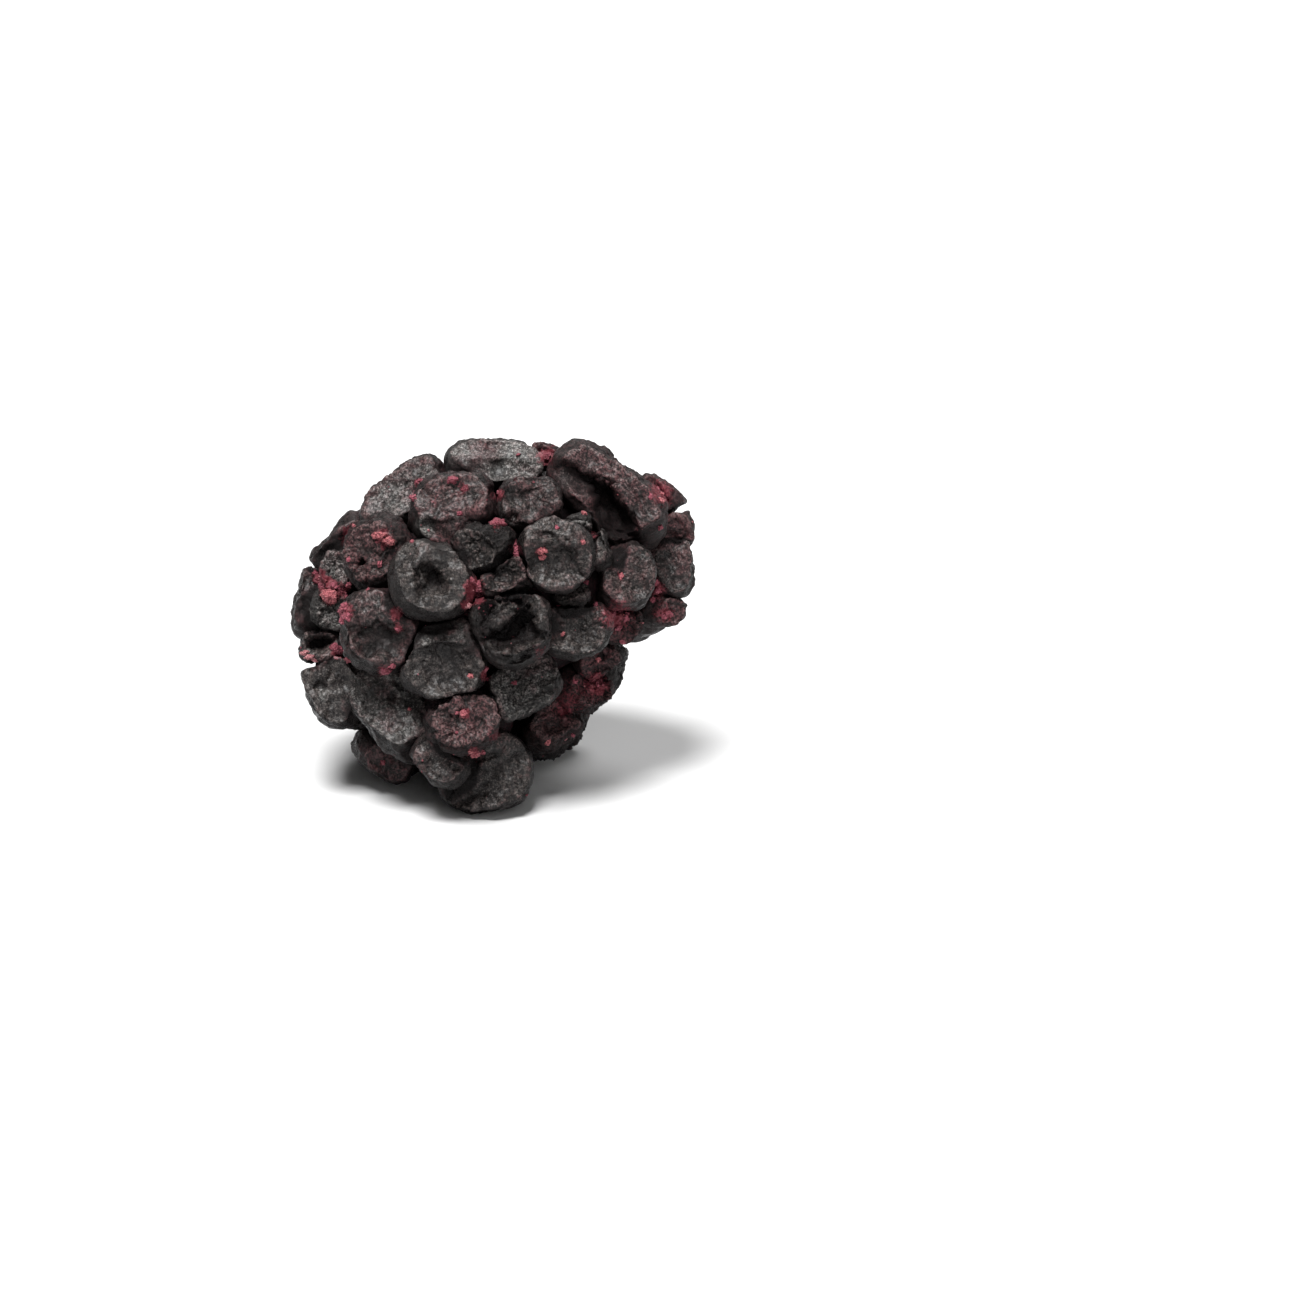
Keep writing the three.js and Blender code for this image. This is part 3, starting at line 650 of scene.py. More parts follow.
def hiddenDrupelet(middle, radius, number):
    out = (middle - hub).normalized()
    across = Vector((0, 0, 1)).cross(out).normalized()
    up = out.cross(across)
    turn = Quaternion(out, golden(number) * math.pi)
    towards = out + across * (golden(number + 7) - 0.5) / 2 + up * (golden(number + 3) - 0.5) / 2
    towards.normalize()
    width = drawn(*hidden["dentWidth"], number + 5) * radius
    side = towards.orthogonal().normalized()
    dent = {"at": towards * radius * hidden["dentAt"], "facing": towards,
            "across": side / width, "up": towards.cross(side) / width,
            "depth": drawn(*hidden["dentDepth"], number + 11), "pucker": hidden["dentPucker"]}
    axes = (turn @ across, turn @ up, out)
    half, tall, deep = (radius * share for share in hidden["radii"])
    flat = flatMark(axes, (half, tall), out * deep, number)
    faces = []
    for start, least, more in hidden["facets"]:
        share = drawn(least, more, number + 1)
        right, high = golden(number + start) - 0.5, golden(number + start + 5) - 0.5
        tilt = (across * right + up * high) * (1.4 * share - 0.5)
        faces.append(((out + tilt).normalized(), share))
    look = (0.9 * golden(number + 2), golden(number + 6), 0.5 * golden(number + 13) ** 2)
    return {"middle": middle, "out": out, "axes": axes, "radii": (half, tall, deep),
            "marks": [flat, dent], "faces": faces, "look": look}


def restingDrupelet(row, number):
    x, y, radius = row
    drupelet = hiddenDrupelet(Vector((x, y, hub.z - 3)), radius, number)
    reach = ownRadius(drupelet, down)
    drupelet["middle"] += down * (roomBelow(drupelet["middle"]) + layout["sink"] - reach)
    return drupelet


def hiddenMiddles(placed):  # an even spiral, thinned to what has room, then pushed apart
    scar = onSeat(stemOut)

    def pushesOn(point, share):
        pushes = []
        for middle, drupelet in [(d["middle"], d) for d in placed] + [(scar, None)]:
            way = point - middle
            distance = way.length
            way.normalize()
            its = ownRadius(drupelet, way) if drupelet else stem["radius"]
            short = (spread["reach"] / 2 + its) * share - distance
            if short > 0:
                pushes.append(way * short)
        return pushes

    loose = []
    for n in range(spread["tries"]):
        level = 1 - (2 * n + 1) / spread["tries"]
        turn = n * math.pi * (3 - math.sqrt(5))
        flat = math.sqrt(1 - level * level)
        point = onSeat(Vector((flat * math.cos(turn), flat * math.sin(turn), level)))
        close = any((other - point).length < spread["apart"] for other in loose)
        if point.y > spread["front"] and not close and not pushesOn(point, spread["clear"]):
            loose.append(point)
    for _ in range(spread["rounds"]):
        for number, point in enumerate(loose):
            push = sum(pushesOn(point, 1), Vector())
            for other in loose:
                away = point - other
                short = spread["reach"] - away.length
                if other is not point and short > 0:
                    push += away.normalized() * short
            moved = point + push * spread["step"]
            moved.y = max(moved.y, spread["front"])
            loose[number] = onSeat((moved - hub).normalized())
    return loose


def allDrupelets():
    placed = [seenDrupelet(row, number) for number, row in enumerate(seen)]
    placed += [restingDrupelet(row, number) for number, row in enumerate(resting)]
    loose = hiddenMiddles(placed)
    middles = loose + [drupelet["middle"] for drupelet in placed]
    for number, middle in enumerate(loose):
        gaps = sorted((other - middle).length for other in middles)[1:5]
        room = sum(gaps) / len(gaps) / 2 * hidden["crowding"]
        radius = min(room, spread["largest"], roomBelow(middle) - layout["clear"])
        if radius >= spread["smallest"]:
            placed.append(hiddenDrupelet(middle, radius, number))
    return placed


def wallsOf(drupelet, drupelets):  # the flat walls that it shares, as directions over distances
    walls = []
    for other in drupelets:
        if other is drupelet:
            continue
        way = other["middle"] - drupelet["middle"]
        apart = way.length
        way.normalize()
        own, its = ownRadius(drupelet, way), ownRadius(other, -way)
        if apart <= (own + its) * drupeletFaces["reach"]:
            walls.append(way / (apart * own / (own + its) + drupeletFaces["press"]))
    walls.sort(key=lambda wall: -wall.length)
    return walls[: drupeletForm["Wall slots"] - len(drupelet["faces"])]


def drupeletClouds(drupelets):  # the drupelets, their walls and their marks as loose vertices
    wallSlots, markSlots = drupeletForm["Wall slots"], drupeletForm["Mark slots"]
    spans = [[axis / radius for axis, radius in zip(d["axes"], d["radii"])] for d in drupelets]
    cloud = pointCloud(
        "drupeletPoints",
        [d["middle"] for d in drupelets],
        middle=[d["middle"] for d in drupelets],
        out=[d["out"] for d in drupelets],
        span0=[span[0] for span in spans],
        span1=[span[1] for span in spans],
        span2=[span[2] for span in spans],
        number=[float(n) for n in range(len(drupelets))],
        look=[d["look"] for d in drupelets],
        group=[float(n % drupeletGroups) for n in range(len(drupelets))],
    )
    walls, shared, marks = [], [], []
    noMark = dict.fromkeys(("at", "across", "up", "facing"), Vector())
    noMark |= {"depth": 0.0, "pucker": 0.0}
    for drupelet in drupelets:
        its = wallsOf(drupelet, drupelets)
        flats = [way / (ownRadius(drupelet, way) * share) for way, share in drupelet["faces"]]
        shared += [1.0] * len(its) + [0.0] * (wallSlots - len(its))
        walls += its + flats + [Vector()] * (wallSlots - len(its) - len(flats))
        marks += drupelet["marks"] + [noMark] * (markSlots - len(drupelet["marks"]))
    wallCloud = pointCloud("wallPoints", walls, shared=shared)
    markCloud = pointCloud(
        "markPoints",
        [mark["at"] for mark in marks],
        across=[mark["across"] for mark in marks],
        up=[mark["up"] for mark in marks],
        facing=[mark["facing"] for mark in marks],
        depth=[float(mark["depth"]) for mark in marks],
        pucker=[float(mark["pucker"]) for mark in marks],
    )
    patchCloud = pointCloud(
        "patchPoints",
        [(x, seatDepth(x, z) - 1, z) for x, z, *rest in patches],
        reach=[float(patch[2]) for patch in patches],
        film=[tuple(map(float, patch[3:])) for patch in patches],
    )
    return cloud, wallCloud, markCloud, patchCloud


def drupeletTree():
    maker, wires = geometryTree("packedDrupelets", drupeletForm, {
        "Group": "Int", "Walls": "Object", "Marks": "Object", "Patches": "Object",
        "Patch count": "Int"})
    number = maker.attribute("number")
    others = maker.attribute("group") - wires["Group"]
    inputs = {"Geometry": wires["Geometry"], "Selection": others.size()}
    points = maker.node("GeometryNodeDeleteGeometry", {"domain": "POINT"}, inputs)

    # A cube of even cells, rounded to a ball, stands at each drupelet's middle.
    around = wires["Cells"] + 1
    inputs = {"Size": (2, 2, 2), "Vertices X": around, "Vertices Y": around, "Vertices Z": around}
    cube = maker.node("GeometryNodeMeshCube", inputs=inputs)
    even = maker.vectors("TANGENT", maker.place() * (math.pi / 4))
    ball = maker.move(cube, to=even.unit())
    inputs = {"Points": points, "Instance": ball}
    balls = maker.realised(maker.node("GeometryNodeInstanceOnPoints", inputs=inputs))
    middle = maker.attribute("middle", "FLOAT_VECTOR")
    out = maker.attribute("out", "FLOAT_VECTOR")
    lifted = (maker.place() - middle + out * wires["Lift"]).unit()
    balls = maker.store(balls, "way", lifted, "FLOAT_VECTOR")
    way = maker.attribute("way", "FLOAT_VECTOR")
    own = maker.vector(number * 7.13, number * 3.71, number * 5.37)  # gives each its own noise
    bent = maker.noise(way + own, 1.1, 3.0, 0.6, output=1) - (0.5, 0.5, 0.5)
    aim = (way + bent * wires["Warp"]).unit()

    # Its own cushion, and the walls that it shares.
    total = 0
    for axis in range(3):
        span = maker.attribute(f"span{axis}", "FLOAT_VECTOR")
        total = total + span.dot(aim).size() ** wires["Cushion"]
    cushion = total ** (-1 / wires["Cushion"])
    wallPoints = maker.pointsOf(wires["Walls"])
    opened = maker.ramp(aim.dot(out), -0.2, 0.5) * wires["Gap"] / 2

    def addWall(turn, now):
        index = number * wires["Wall slots"] + turn
        wall = maker.sample(wallPoints, maker.place(), index)
        shared = maker.sample(wallPoints, maker.attribute("shared"), index, "FLOAT")
        near = wall.dot(aim).atLeast(0.0) * (1 + wall.length() * opened * shared)
        facing = near / wall.length().atLeast(0.001) * shared
        limit = near ** wires["Rounding"]
        return {"Walls": now["Walls"] + limit * shared, "Flats": now["Flats"] + limit * (1 - shared),
                "Facing": now["Facing"].atLeast(facing)}

    carried = {"Walls": ("FLOAT", 0.0), "Flats": ("FLOAT", 0.0), "Facing": ("FLOAT", 0.0)}
    packed = repeated(maker, wires["Wall slots"], carried, addWall)
    swollen = cushion * (1 + wires["Fill"] * packed["Facing"] * packed["Facing"])
    limits = swollen ** -wires["Rounding"] + packed["Walls"]
    walled = limits ** (-1 / wires["Rounding"])
    balls = maker.store(balls, "crease", 1 - walled / swollen)
    flatShare = packed["Flats"] / (limits + packed["Flats"])
    rim = (flatShare * (1 - flatShare) * 4) ** 2
    balls = maker.store(balls, "rim", rim)
    balls = maker.store(balls, "side", 1 - flatShare)
    radius = (limits + packed["Flats"]) ** (-1 / wires["Rounding"]) + rim * wires["Lip"]
    balls = maker.store(balls, "radius", radius)
    radius = maker.attribute("radius")

    # Dents, hollows and folds pressed into it.
    markPoints = maker.pointsOf(wires["Marks"])

    def addMark(turn, now):
        index = number * wires["Mark slots"] + turn

        def its(name, kind="FLOAT_VECTOR"):
            return maker.sample(markPoints, maker.attribute(name, kind), index, kind)

        away = aim * radius - maker.sample(markPoints, maker.place(), index)
        across = away.dot(its("across"))
        up = away.dot(its("up"))
        uneven = maker.noise(away + maker.vector(number * 3.3, turn * 5.1, 0), 1.5, 3.0, 0.6)
        far = (across * across + up * up) ** 0.5 * (0.45 + 1.1 * uneven)
        towards = its("facing")
        facing = maker.ramp(way.dot(towards), 0.0, 0.35)
        press = maker.maths("EXPONENT", -(far ** 4)) * its("depth", "FLOAT") * facing
        ring = maker.maths("EXPONENT", -((far - 1.1) * 1.8) ** 2)
        spokes = maker.vector(across / far.atLeast(0.01), up / far.atLeast(0.01), number + far * 0.4)
        pucker = (maker.noise(spokes, 1.7, 2.0) - 0.5) * ring * facing * 2 * its("pucker", "FLOAT")
        return {"Press": now["Press"] + press, "Pucker": now["Pucker"] + pucker,
                "Towards": now["Towards"] + towards * press}

    carried = {"Press": ("FLOAT", 0.0), "Pucker": ("FLOAT", 0.0), "Towards": ("VECTOR", (0, 0, 0))}
    marked = repeated(maker, wires["Mark slots"], carried, addMark)
    balls = maker.store(balls, "hollow", marked["Press"])
    moved = middle + way * (radius + marked["Pucker"]) - marked["Towards"]
    balls = maker.move(balls, to=moved)

    # The films and stains on it, added up from its own and the patches.
    patchPoints = maker.pointsOf(wires["Patches"])

    def addPatch(turn, now):
        away = maker.place() - maker.sample(patchPoints, maker.place(), turn)
        reach = maker.sample(patchPoints, maker.attribute("reach"), turn, "FLOAT")
        near = (away * (1, patchFlatness, 1)).length() / reach
        share = maker.maths("EXPONENT", -(near * near))
        stain = maker.sample(patchPoints, maker.attribute("film", "FLOAT_VECTOR"), turn)
        return {"Film": now["Film"] + stain * share}

    film = repeated(maker, wires["Patch count"], {"Film": ("VECTOR", (0, 0, 0))}, addPatch)["Film"]
    look = maker.attribute("look", "FLOAT_VECTOR")
    film = film + maker.vector(look.part("Y"), look.part("Z"), 0)
    balls = maker.store(balls, "film", film, "FLOAT_VECTOR")

    # Crumpled skin, rougher on its outward side.
    here = maker.place() + own
    normal = maker.node("GeometryNodeInputNormal")
    outwards = way.dot(out)
    rough = (0.25 + look.part("X")) * maker.ramp(outwards, -0.4, 0.15, 0.25, 1.0)
    crumple = (maker.noise(here, 0.62, 2.0) - 0.5) * wires["Crumple"]
    area = maker.ramp(maker.noise(here + (3, 8, 1), 0.5, 1.0), 0.4, 0.6)
    bent = here + maker.noise(here, 0.9, 2.0, output=1) * 1.1
    ridges = (1 - (maker.noise(bent, 1.3, 2.0) * 2 - 1).size() * 3.5).atLeast(0.0) * area
    creases = (1 - (maker.noise(bent + (9, 4, 2), 0.9, 1.0) * 2 - 1).size() * 9).atLeast(0.0)
    lumps = (maker.noise(here, 2.2, 2.0, 0.6, warp=0.5) - 0.5) * wires["Lumps"]
    grain = (maker.noise(here, 5.5, 1.0, 0.6) - 0.5) * wires["Grain"]
    pits = maker.ramp(maker.cells(here, 2.4), 0.05, 0.34, 1.0, 0.0) * maker.ramp(outwards, 0.7, 0.95)
    pits = pits * maker.ramp(look.part("X"), 0.2, 0.7, 1.0, 0.0)
    height = crumple + (ridges * wires["Wrinkle"] - creases * wires["Crease"]) * rough
    height = height - pits * wires["Pits"] + (lumps + grain) * rough
    balls = maker.store(balls, "relief", height - crumple * 0.5)
    height = maker.attribute("relief") + crumple * 0.5
    balls = maker.move(balls, by=normal * height)
    maker.finish(maker.tipBack(balls), wires["Material"])
    return maker.tree


def makeDrupelets(material):
    cloud, walls, marks, patchPoints = drupeletClouds(allDrupelets())
    tree = drupeletTree()
    pieces = []
    for group in range(drupeletGroups):
        pieces.append(grown(f"drupelets-{group + 1}", cloud, tree, {
            **drupeletForm, "Group": group, "Walls": walls, "Marks": marks,
            "Patches": patchPoints, "Patch count": len(patches), "Material": material}))
    for helper in (cloud, walls, marks, patchPoints):
        bpy.data.objects.remove(helper)
    return pieces


core = {"raise": -1.2, "detail": 6}  # millimetres outside the seat, and how fine it is
coreForm = {"Rough": 0.9}


def coreTree():
    maker, wires = geometryTree("crumblyCore", coreForm, {})
    here = maker.place()
    normal = maker.node("GeometryNodeInputNormal")
    height = maker.noise(here, 0.9, 4.0, 0.6) - 0.5
    height = height + (maker.noise(here, 3.2, 3.0, 0.6) - 0.5) * 0.5
    moved = maker.move(wires["Geometry"], by=normal * height * wires["Rough"])
    maker.finish(maker.tipBack(moved), wires["Material"])
    return maker.tree


def makeCore(material):
    ball = bmesh.new()
    bmesh.ops.create_icosphere(ball, subdivisions=core["detail"], radius=1)
    for vertex in ball.verts:
        direction = vertex.co.normalized()
        vertex.co = onSeat(direction) + direction * core["raise"]
    mesh = bpy.data.meshes.new("coreBall")
    ball.to_mesh(mesh)
    ball.free()
    source = linked("coreBall", mesh)
    piece = grown("core", source, coreTree(), {**coreForm, "Material": material})
    bpy.data.objects.remove(source)
    return piece


# The stem scar: a shallow dry cup with ridges running out from its middle.
scar = {
    "profile": [(1.75, -1.6), (1.7, 0.1), (1.6, 0.5), (1.45, 0.75), (1.25, 0.85), (1.05, 0.75),
                (0.85, 0.4), (0.65, 0.05), (0.4, -0.15), (0.15, -0.2)],  # across and up, inwards
    "sides": 72,
    "ridges": 11,
    "ridgeDepth": 0.1,
    "unevenness": 0.16,
    "unevenScale": 1.4,
}


def makeScar(material):
    stands = onSeat(stemOut)
    side = stemOut.orthogonal().normalized()
    sides = scar["sides"]
    mesh = bmesh.new()
    rings = []
    for across, up in scar["profile"]:
        ring = []
        for n in range(sides):
            turn = 2 * math.pi * n / sides
            ridge = math.cos(turn * scar["ridges"]) * scar["ridgeDepth"] * min(across, 1)
            way = Quaternion(stemOut, turn) @ side
            rest = way * across + stemOut * (up + ridge)
            uneven = noise.noise_vector(rest * scar["unevenScale"]) * scar["unevenness"]
            ring.append(mesh.verts.new(inWorld(stands + rest + uneven * min(across, 1))))
        rings.append(ring)
    for outer, inner in zip(rings, rings[1:]):
        for n in range(sides):
            after = (n + 1) % sides
            mesh.faces.new((outer[n], outer[after], inner[after], inner[n]))
    mesh.faces.new(rings[-1])
    mesh.faces.new(rings[0][::-1])
    bmesh.ops.recalc_face_normals(mesh, faces=mesh.faces)
    data = bpy.data.meshes.new("stem-scar")
    mesh.to_mesh(data)
    mesh.free()
    data.shade_smooth()
    data.materials.append(material)
    return linked("stem-scar", data)


# Flakes of dry flesh placed one by one on the best side: x, z, width, height and tint.
placedFlakes = [
    (0.27, 15.76, 0.60, 0.7, 0.6), (-8.1, 10.76, 0.8, 0.5, 0.75), (-5.5, 13.75, 0.6, 0.3, 0.8),
    (-5.0, 13.5, 0.6, 0.3, 0.9), (-5.5, 12.35, 0.22, 0.3, 0.6), (-7.35, 13.43, 0.3, 0.35, 0.6),
    (-3.8, 15.6, 0.4, 0.25, 0.5), (-1.87, 16.5, 0.5, 0.3, 0.3), (-1.25, 16.05, 0.35, 0.3, 0.1),
    (-1.53, 14.83, 0.25, 0.2, 0.5), (1.24, 13.05, 0.26, 0.8, 0.5), (2.51, 13.0, 0.4, 0.35, 0.8),
    (2.55, 12.7, 0.3, 0.3, 0.8), (0.25, 14.3, 0.7, 0.4, 0.3), (3.27, 14.07, 0.2, 0.25, 0.5),
    (4.55, 13.4, 0.2, 0.2, 0.8), (5.05, 13.87, 0.3, 0.2, 0.7), (6.42, 11.74, 0.22, 0.35, 0.7),
    (2.72, 17.75, 0.5, 0.35, 0.2), (7.9, 15.7, 0.2, 0.25, 0.4), (-4.55, 9.14, 0.3, 0.22, 0.5),
    (-5.3, 7.2, 0.4, 0.3, 0.5), (-7.7, 8.05, 0.4, 0.35, 0.3), (-7.55, 11.15, 0.3, 0.2, 0.5),
    (-7.3, 10.7, 0.25, 0.25, 0.5), (-0.98, 6.78, 0.3, 0.22, 0.9), (-0.3, 7.15, 0.25, 0.3, 0.5),
    (-0.15, 6.65, 0.25, 0.2, 0.4), (-1.33, 4.95, 0.32, 0.35, 0.7), (-1.67, 5.0, 0.18, 0.15, 0.6),
    (-0.78, 2.97, 0.4, 0.35, 0.7), (-0.45, 3.05, 0.3, 0.25, 0.6), (-1.0, 3.1, 0.2, 0.2, 0.9),
    (-4.07, 5.16, 0.15, 0.2, 0.9), (-7.35, 10.0, 0.32, 0.3, 0.4), (-7.3, 9.6, 0.3, 0.4, 0.4),
    (-0.65, 11.26, 0.4, 0.6, 0.3), (-0.6, 10.78, 0.4, 0.3, 0.3), (-0.9, 11.5, 0.25, 0.25, 0.3),
    (-1.1, 10.3, 0.3, 0.25, 1.0), (8.34, 14.2, 0.25, 0.25, 0.5), (4.7, 11.47, 0.2, 0.25, 0.5),
    (5.25, 7.63, 0.25, 0.2, 0.9), (4.98, 6.6, 0.35, 0.25, 0.6), (5.39, 6.46, 0.25, 0.3, 0.6),
    (4.1, 6.53, 0.25, 0.2, 0.5), (6.0, 9.9, 0.35, 0.3, 0.3), (6.35, 10.0, 0.3, 0.35, 0.3),
    (6.7, 9.75, 0.3, 0.4, 0.4), (6.28, 9.2, 0.3, 0.25, 0.4), (6.5, 8.5, 0.25, 0.2, 0.6),
    (8.2, 11.5, 0.25, 0.35, 0.4), (8.27, 11.05, 0.35, 0.25, 0.4), (8.0, 10.6, 0.25, 0.25, 0.4),
    (-8.75, 11.6, 0.5, 0.45, 0.1), (-8.35, 11.35, 0.5, 0.4, 0.3), (-7.85, 11.3, 0.4, 0.35, 0.5),
    (-7.5, 11.0, 0.4, 0.35, 0.6), (-7.2, 11.35, 0.3, 0.25, 0.6), (-7.15, 10.2, 0.4, 0.45, 0.4),
    (-7.1, 9.75, 0.35, 0.4, 0.5), (-7.85, 8.2, 0.4, 0.4, 0.3), (-7.35, 7.9, 0.4, 0.35, 0.1),
    (-7.05, 7.65, 0.3, 0.3, 0.1), (-5.2, 7.1, 0.45, 0.35, 0.4), (-4.85, 7.3, 0.3, 0.2, 0.3),
    (8.8, 9.9, 0.35, 0.25, 0.3), (8.5, 9.75, 0.25, 0.3, 0.4), (1.14, 6.46, 0.25, 0.2, 0.3),
    (3.33, 10.3, 0.22, 0.22, 0.4), (-3.6, 16.45, 0.35, 0.25, 0.3), (-8.85, 11.9, 0.4, 0.3, 0.3),
    (-8.6, 11.3, 0.3, 0.3, 0.4), (5.2, 10.3, 0.2, 0.25, 0.4), (4.6, 14.85, 0.25, 0.15, 0.9),
    (-9.35, 7.95, 0.4, 0.22, 1.0), (-9.1, 7.75, 0.4, 0.2, 1.0), (-8.85, 7.6, 0.3, 0.18, 1.0),
]
flake = {"start": 40, "half": 0.6, "thickness": 0.42}  # starts so far ahead, and shares of its width
crumbForms = {  # a density for each square metre, then half widths in millimetres
    "flakes": {"Density": 0.0, "Detail": 3},  # the listed ones alone
    "crumbs": {"Density": 5.0e6, "Smallest": 0.05, "Largest": 0.2, "Detail": 1, "Seed": 11},
    "dust": {"Density": 6.0e6, "Smallest": 0.022, "Largest": 0.055, "Detail": 1, "Seed": 23},
}
crumbSpread = {"stained": 3, "clustered": 0.10, "onMauve": 0.22, "anywhere": 0.005}


def crumbTree():
    maker, wires = geometryTree("crumbs", crumbForms["crumbs"], {"Surface": "Collection"})
    surface = maker.surfacesOf(wires["Surface"])
    film = maker.attribute("film", "FLOAT_VECTOR")
    here = maker.place() * (1 / mm)
    cluster = maker.ramp(maker.noise(here, 0.75, 3.0, 0.6), 0.5, 0.72)
    crease = maker.ramp(maker.attribute("crease"), 0.02, 0.3)
    clustered = crumbSpread["clustered"] + crumbSpread["onMauve"] * film.part("X")
    share = maker.ramp(film.part("Z"), 0.5, 1.05) * crumbSpread["stained"]
    share = share + cluster * clustered * (0.5 + crease) + crumbSpread["anywhere"]
    share = share * maker.ramp(maker.outwardness(), -0.15, 0.25)

    settings = {"distribute_method": "RANDOM"}
    seed = wires["Seed"]
    inputs = {"Mesh": surface, "Density": wires["Density"] * share, "Seed": seed}
    loose = maker.node("GeometryNodeDistributePointsOnFaces", settings, inputs)
    largeness = maker.drawFloat(0.0, 1.0, seed + 1) ** 3  # few are large
    half = wires["Smallest"] + (wires["Largest"] - wires["Smallest"]) * largeness
    halves = maker.drawVector((0.8, 0.6, 0.45), (1.2, 1.1, 0.9), seed + 2) * half
    turn = maker.drawVector((-halfTurn,) * 3, (halfTurn,) * 3, seed + 4)
    loose = maker.store(loose, "halves", halves, "FLOAT_VECTOR")
    loose = maker.store(loose, "tint", maker.drawFloat(0.0, 1.0, seed + 3))
    loose = maker.store(loose, "turn", turn, "FLOAT_VECTOR")

    # The listed ones fly onto the best side.
    ahead = tuple(tipped @ Vector((0, 1, 0)))
    inputs = {"Target Geometry": surface, "Ray Direction": ahead, "Ray Length": 1.0}
    hit = maker.node("GeometryNodeRaycast", inputs=inputs, output="Is Hit")
    landed = Wire(maker, hit.socket.node.outputs["Hit Position"])
    inputs = {"Geometry": wires["Geometry"], "Selection": 1 - hit}
    placed = maker.node("GeometryNodeDeleteGeometry", {"domain": "POINT"}, inputs)
    joined = maker.node("GeometryNodeJoinGeometry", output=None)
    maker.put(joined.inputs[0], maker.move(placed, to=landed))
    maker.put(joined.inputs[0], loose)
    joined = Wire(maker, joined.outputs[0])
    joined = maker.store(joined, "centre", maker.place(), "FLOAT_VECTOR")

    # Each is a small ball, made lumpy.
    halves = maker.attribute("halves", "FLOAT_VECTOR")
    inputs = {"Radius": mm, "Subdivisions": wires["Detail"]}
    ball = maker.node("GeometryNodeMeshIcoSphere", inputs=inputs)
    inputs = {"Points": joined, "Instance": ball, "Scale": halves}
    inputs["Rotation"] = maker.attribute("turn", "FLOAT_VECTOR")
    balls = maker.realised(maker.node("GeometryNodeInstanceOnPoints", inputs=inputs))
    centre = maker.attribute("centre", "FLOAT_VECTOR")
    away = maker.place() - centre
    lump = maker.noise(away / (halves.length() * mm) + centre * 40000, 2.4, 2.0, 0.7)
    balls = maker.move(balls, to=centre + away * (2.4 * lump - 0.2))
    maker.finish(maker.aboveFloor(balls), wires["Material"])
    return maker.tree


def makeCrumbs(surfaces, material):
    collection = collected(surfaces)
    tree = crumbTree()
    half, thick = flake["half"], flake["thickness"]
    placed = pointCloud(
        "placedFlakes",
        [inWorld((x, -flake["start"], z)) for x, z, *rest in placedFlakes],
        halves=[(wide * half, wide * thick, high * half) for x, z, wide, high, tint in placedFlakes],
        tint=[float(row[4]) for row in placedFlakes],
        turn=[(drawn(-0.5, 0.4, n), drawn(-0.4, 0.8, n + 5), 0.0) for n in range(len(placedFlakes))],
    )
    pieces = []
    for name, form in crumbForms.items():
        source = placed if name == "flakes" else pointCloud("noFlakes", [])
        values = {**form, "Surface": collection, "Material": material}
        pieces.append(grown(name, source, tree, values))
        bpy.data.objects.remove(source)
    bpy.data.collections.remove(collection)
    return pieces


fibreForm = {
    "Density": 6.0e3,  # for each square metre
    "Length": 0.9,
    "Radius": 0.009,
    "Curl": 0.5,
    "Points": 9,
    "Seed": 5,
}
fibreArc = {"middle": (0.45, 0, 0.25), "end": (0.7, 0.4, 0.12)}  # as shares of its length
fibreSides = 5


def fibreTree():
    maker, wires = geometryTree("fibres", fibreForm, {"Surface": "Collection"})
    outwards = maker.outwardness()
    edge = maker.ramp(outwards, 0.0, 0.3) * maker.ramp(outwards, 0.6, 0.85, 1.0, 0.0)
    inputs = {"Mesh": maker.surfacesOf(wires["Surface"]), "Density": wires["Density"] * edge}
    inputs["Seed"] = wires["Seed"]
    settings = {"distribute_method": "RANDOM"}
    points = maker.node("GeometryNodeDistributePointsOnFaces", settings, inputs)
    turn = Wire(maker, points.socket.node.outputs["Rotation"])
    length = wires["Length"] * mm
    inputs = {"Resolution": wires["Points"], "Start": (0, 0, 0)}
    inputs["Middle"] = maker.vector(*(length * share for share in fibreArc["middle"]))
    inputs["End"] = maker.vector(*(length * share for share in fibreArc["end"]))
    arc = maker.node("GeometryNodeCurveQuadraticBezier", inputs=inputs)

    spin = maker.drawFloat(0.0, 2 * halfTurn, wires["Seed"] + 1)
    inputs = {"Rotation": turn, "Rotate By": maker.vector(0, 0, spin)}
    turn = maker.node("FunctionNodeRotateRotation", {"rotation_space": "LOCAL"}, inputs)
    size = maker.drawFloat(0.3, 1.0, wires["Seed"] + 2)
    inputs = {"Points": points, "Instance": arc, "Rotation": turn}
    inputs["Scale"] = maker.vector(size, size, size)
    arcs = maker.realised(maker.node("GeometryNodeInstanceOnPoints", inputs=inputs))
    along = maker.node("GeometryNodeSplineParameter")
    sway = maker.noise(maker.place() * (1 / mm), 1.3, 1.0, output=1) - (0.5, 0.5, 0.5)
    arcs = maker.move(arcs, by=sway * along * wires["Curl"] * mm)
    inputs = {"Resolution": fibreSides, "Radius": wires["Radius"] * mm}
    ring = maker.node("GeometryNodeCurvePrimitiveCircle", {"mode": "RADIUS"}, inputs)
    inputs = {"Curve": arcs, "Profile Curve": ring, "Fill Caps": True}
    maker.finish(maker.node("GeometryNodeCurveToMesh", inputs=inputs), wires["Material"])
    return maker.tree


def makeFibres(surfaces, material):
    collection = collected(surfaces)
    source = pointCloud("noFibres", [])
    values = {**fibreForm, "Surface": collection, "Material": material}
    piece = grown("fibres", source, fibreTree(), values)
    bpy.data.objects.remove(source)
    bpy.data.collections.remove(collection)
    return piece


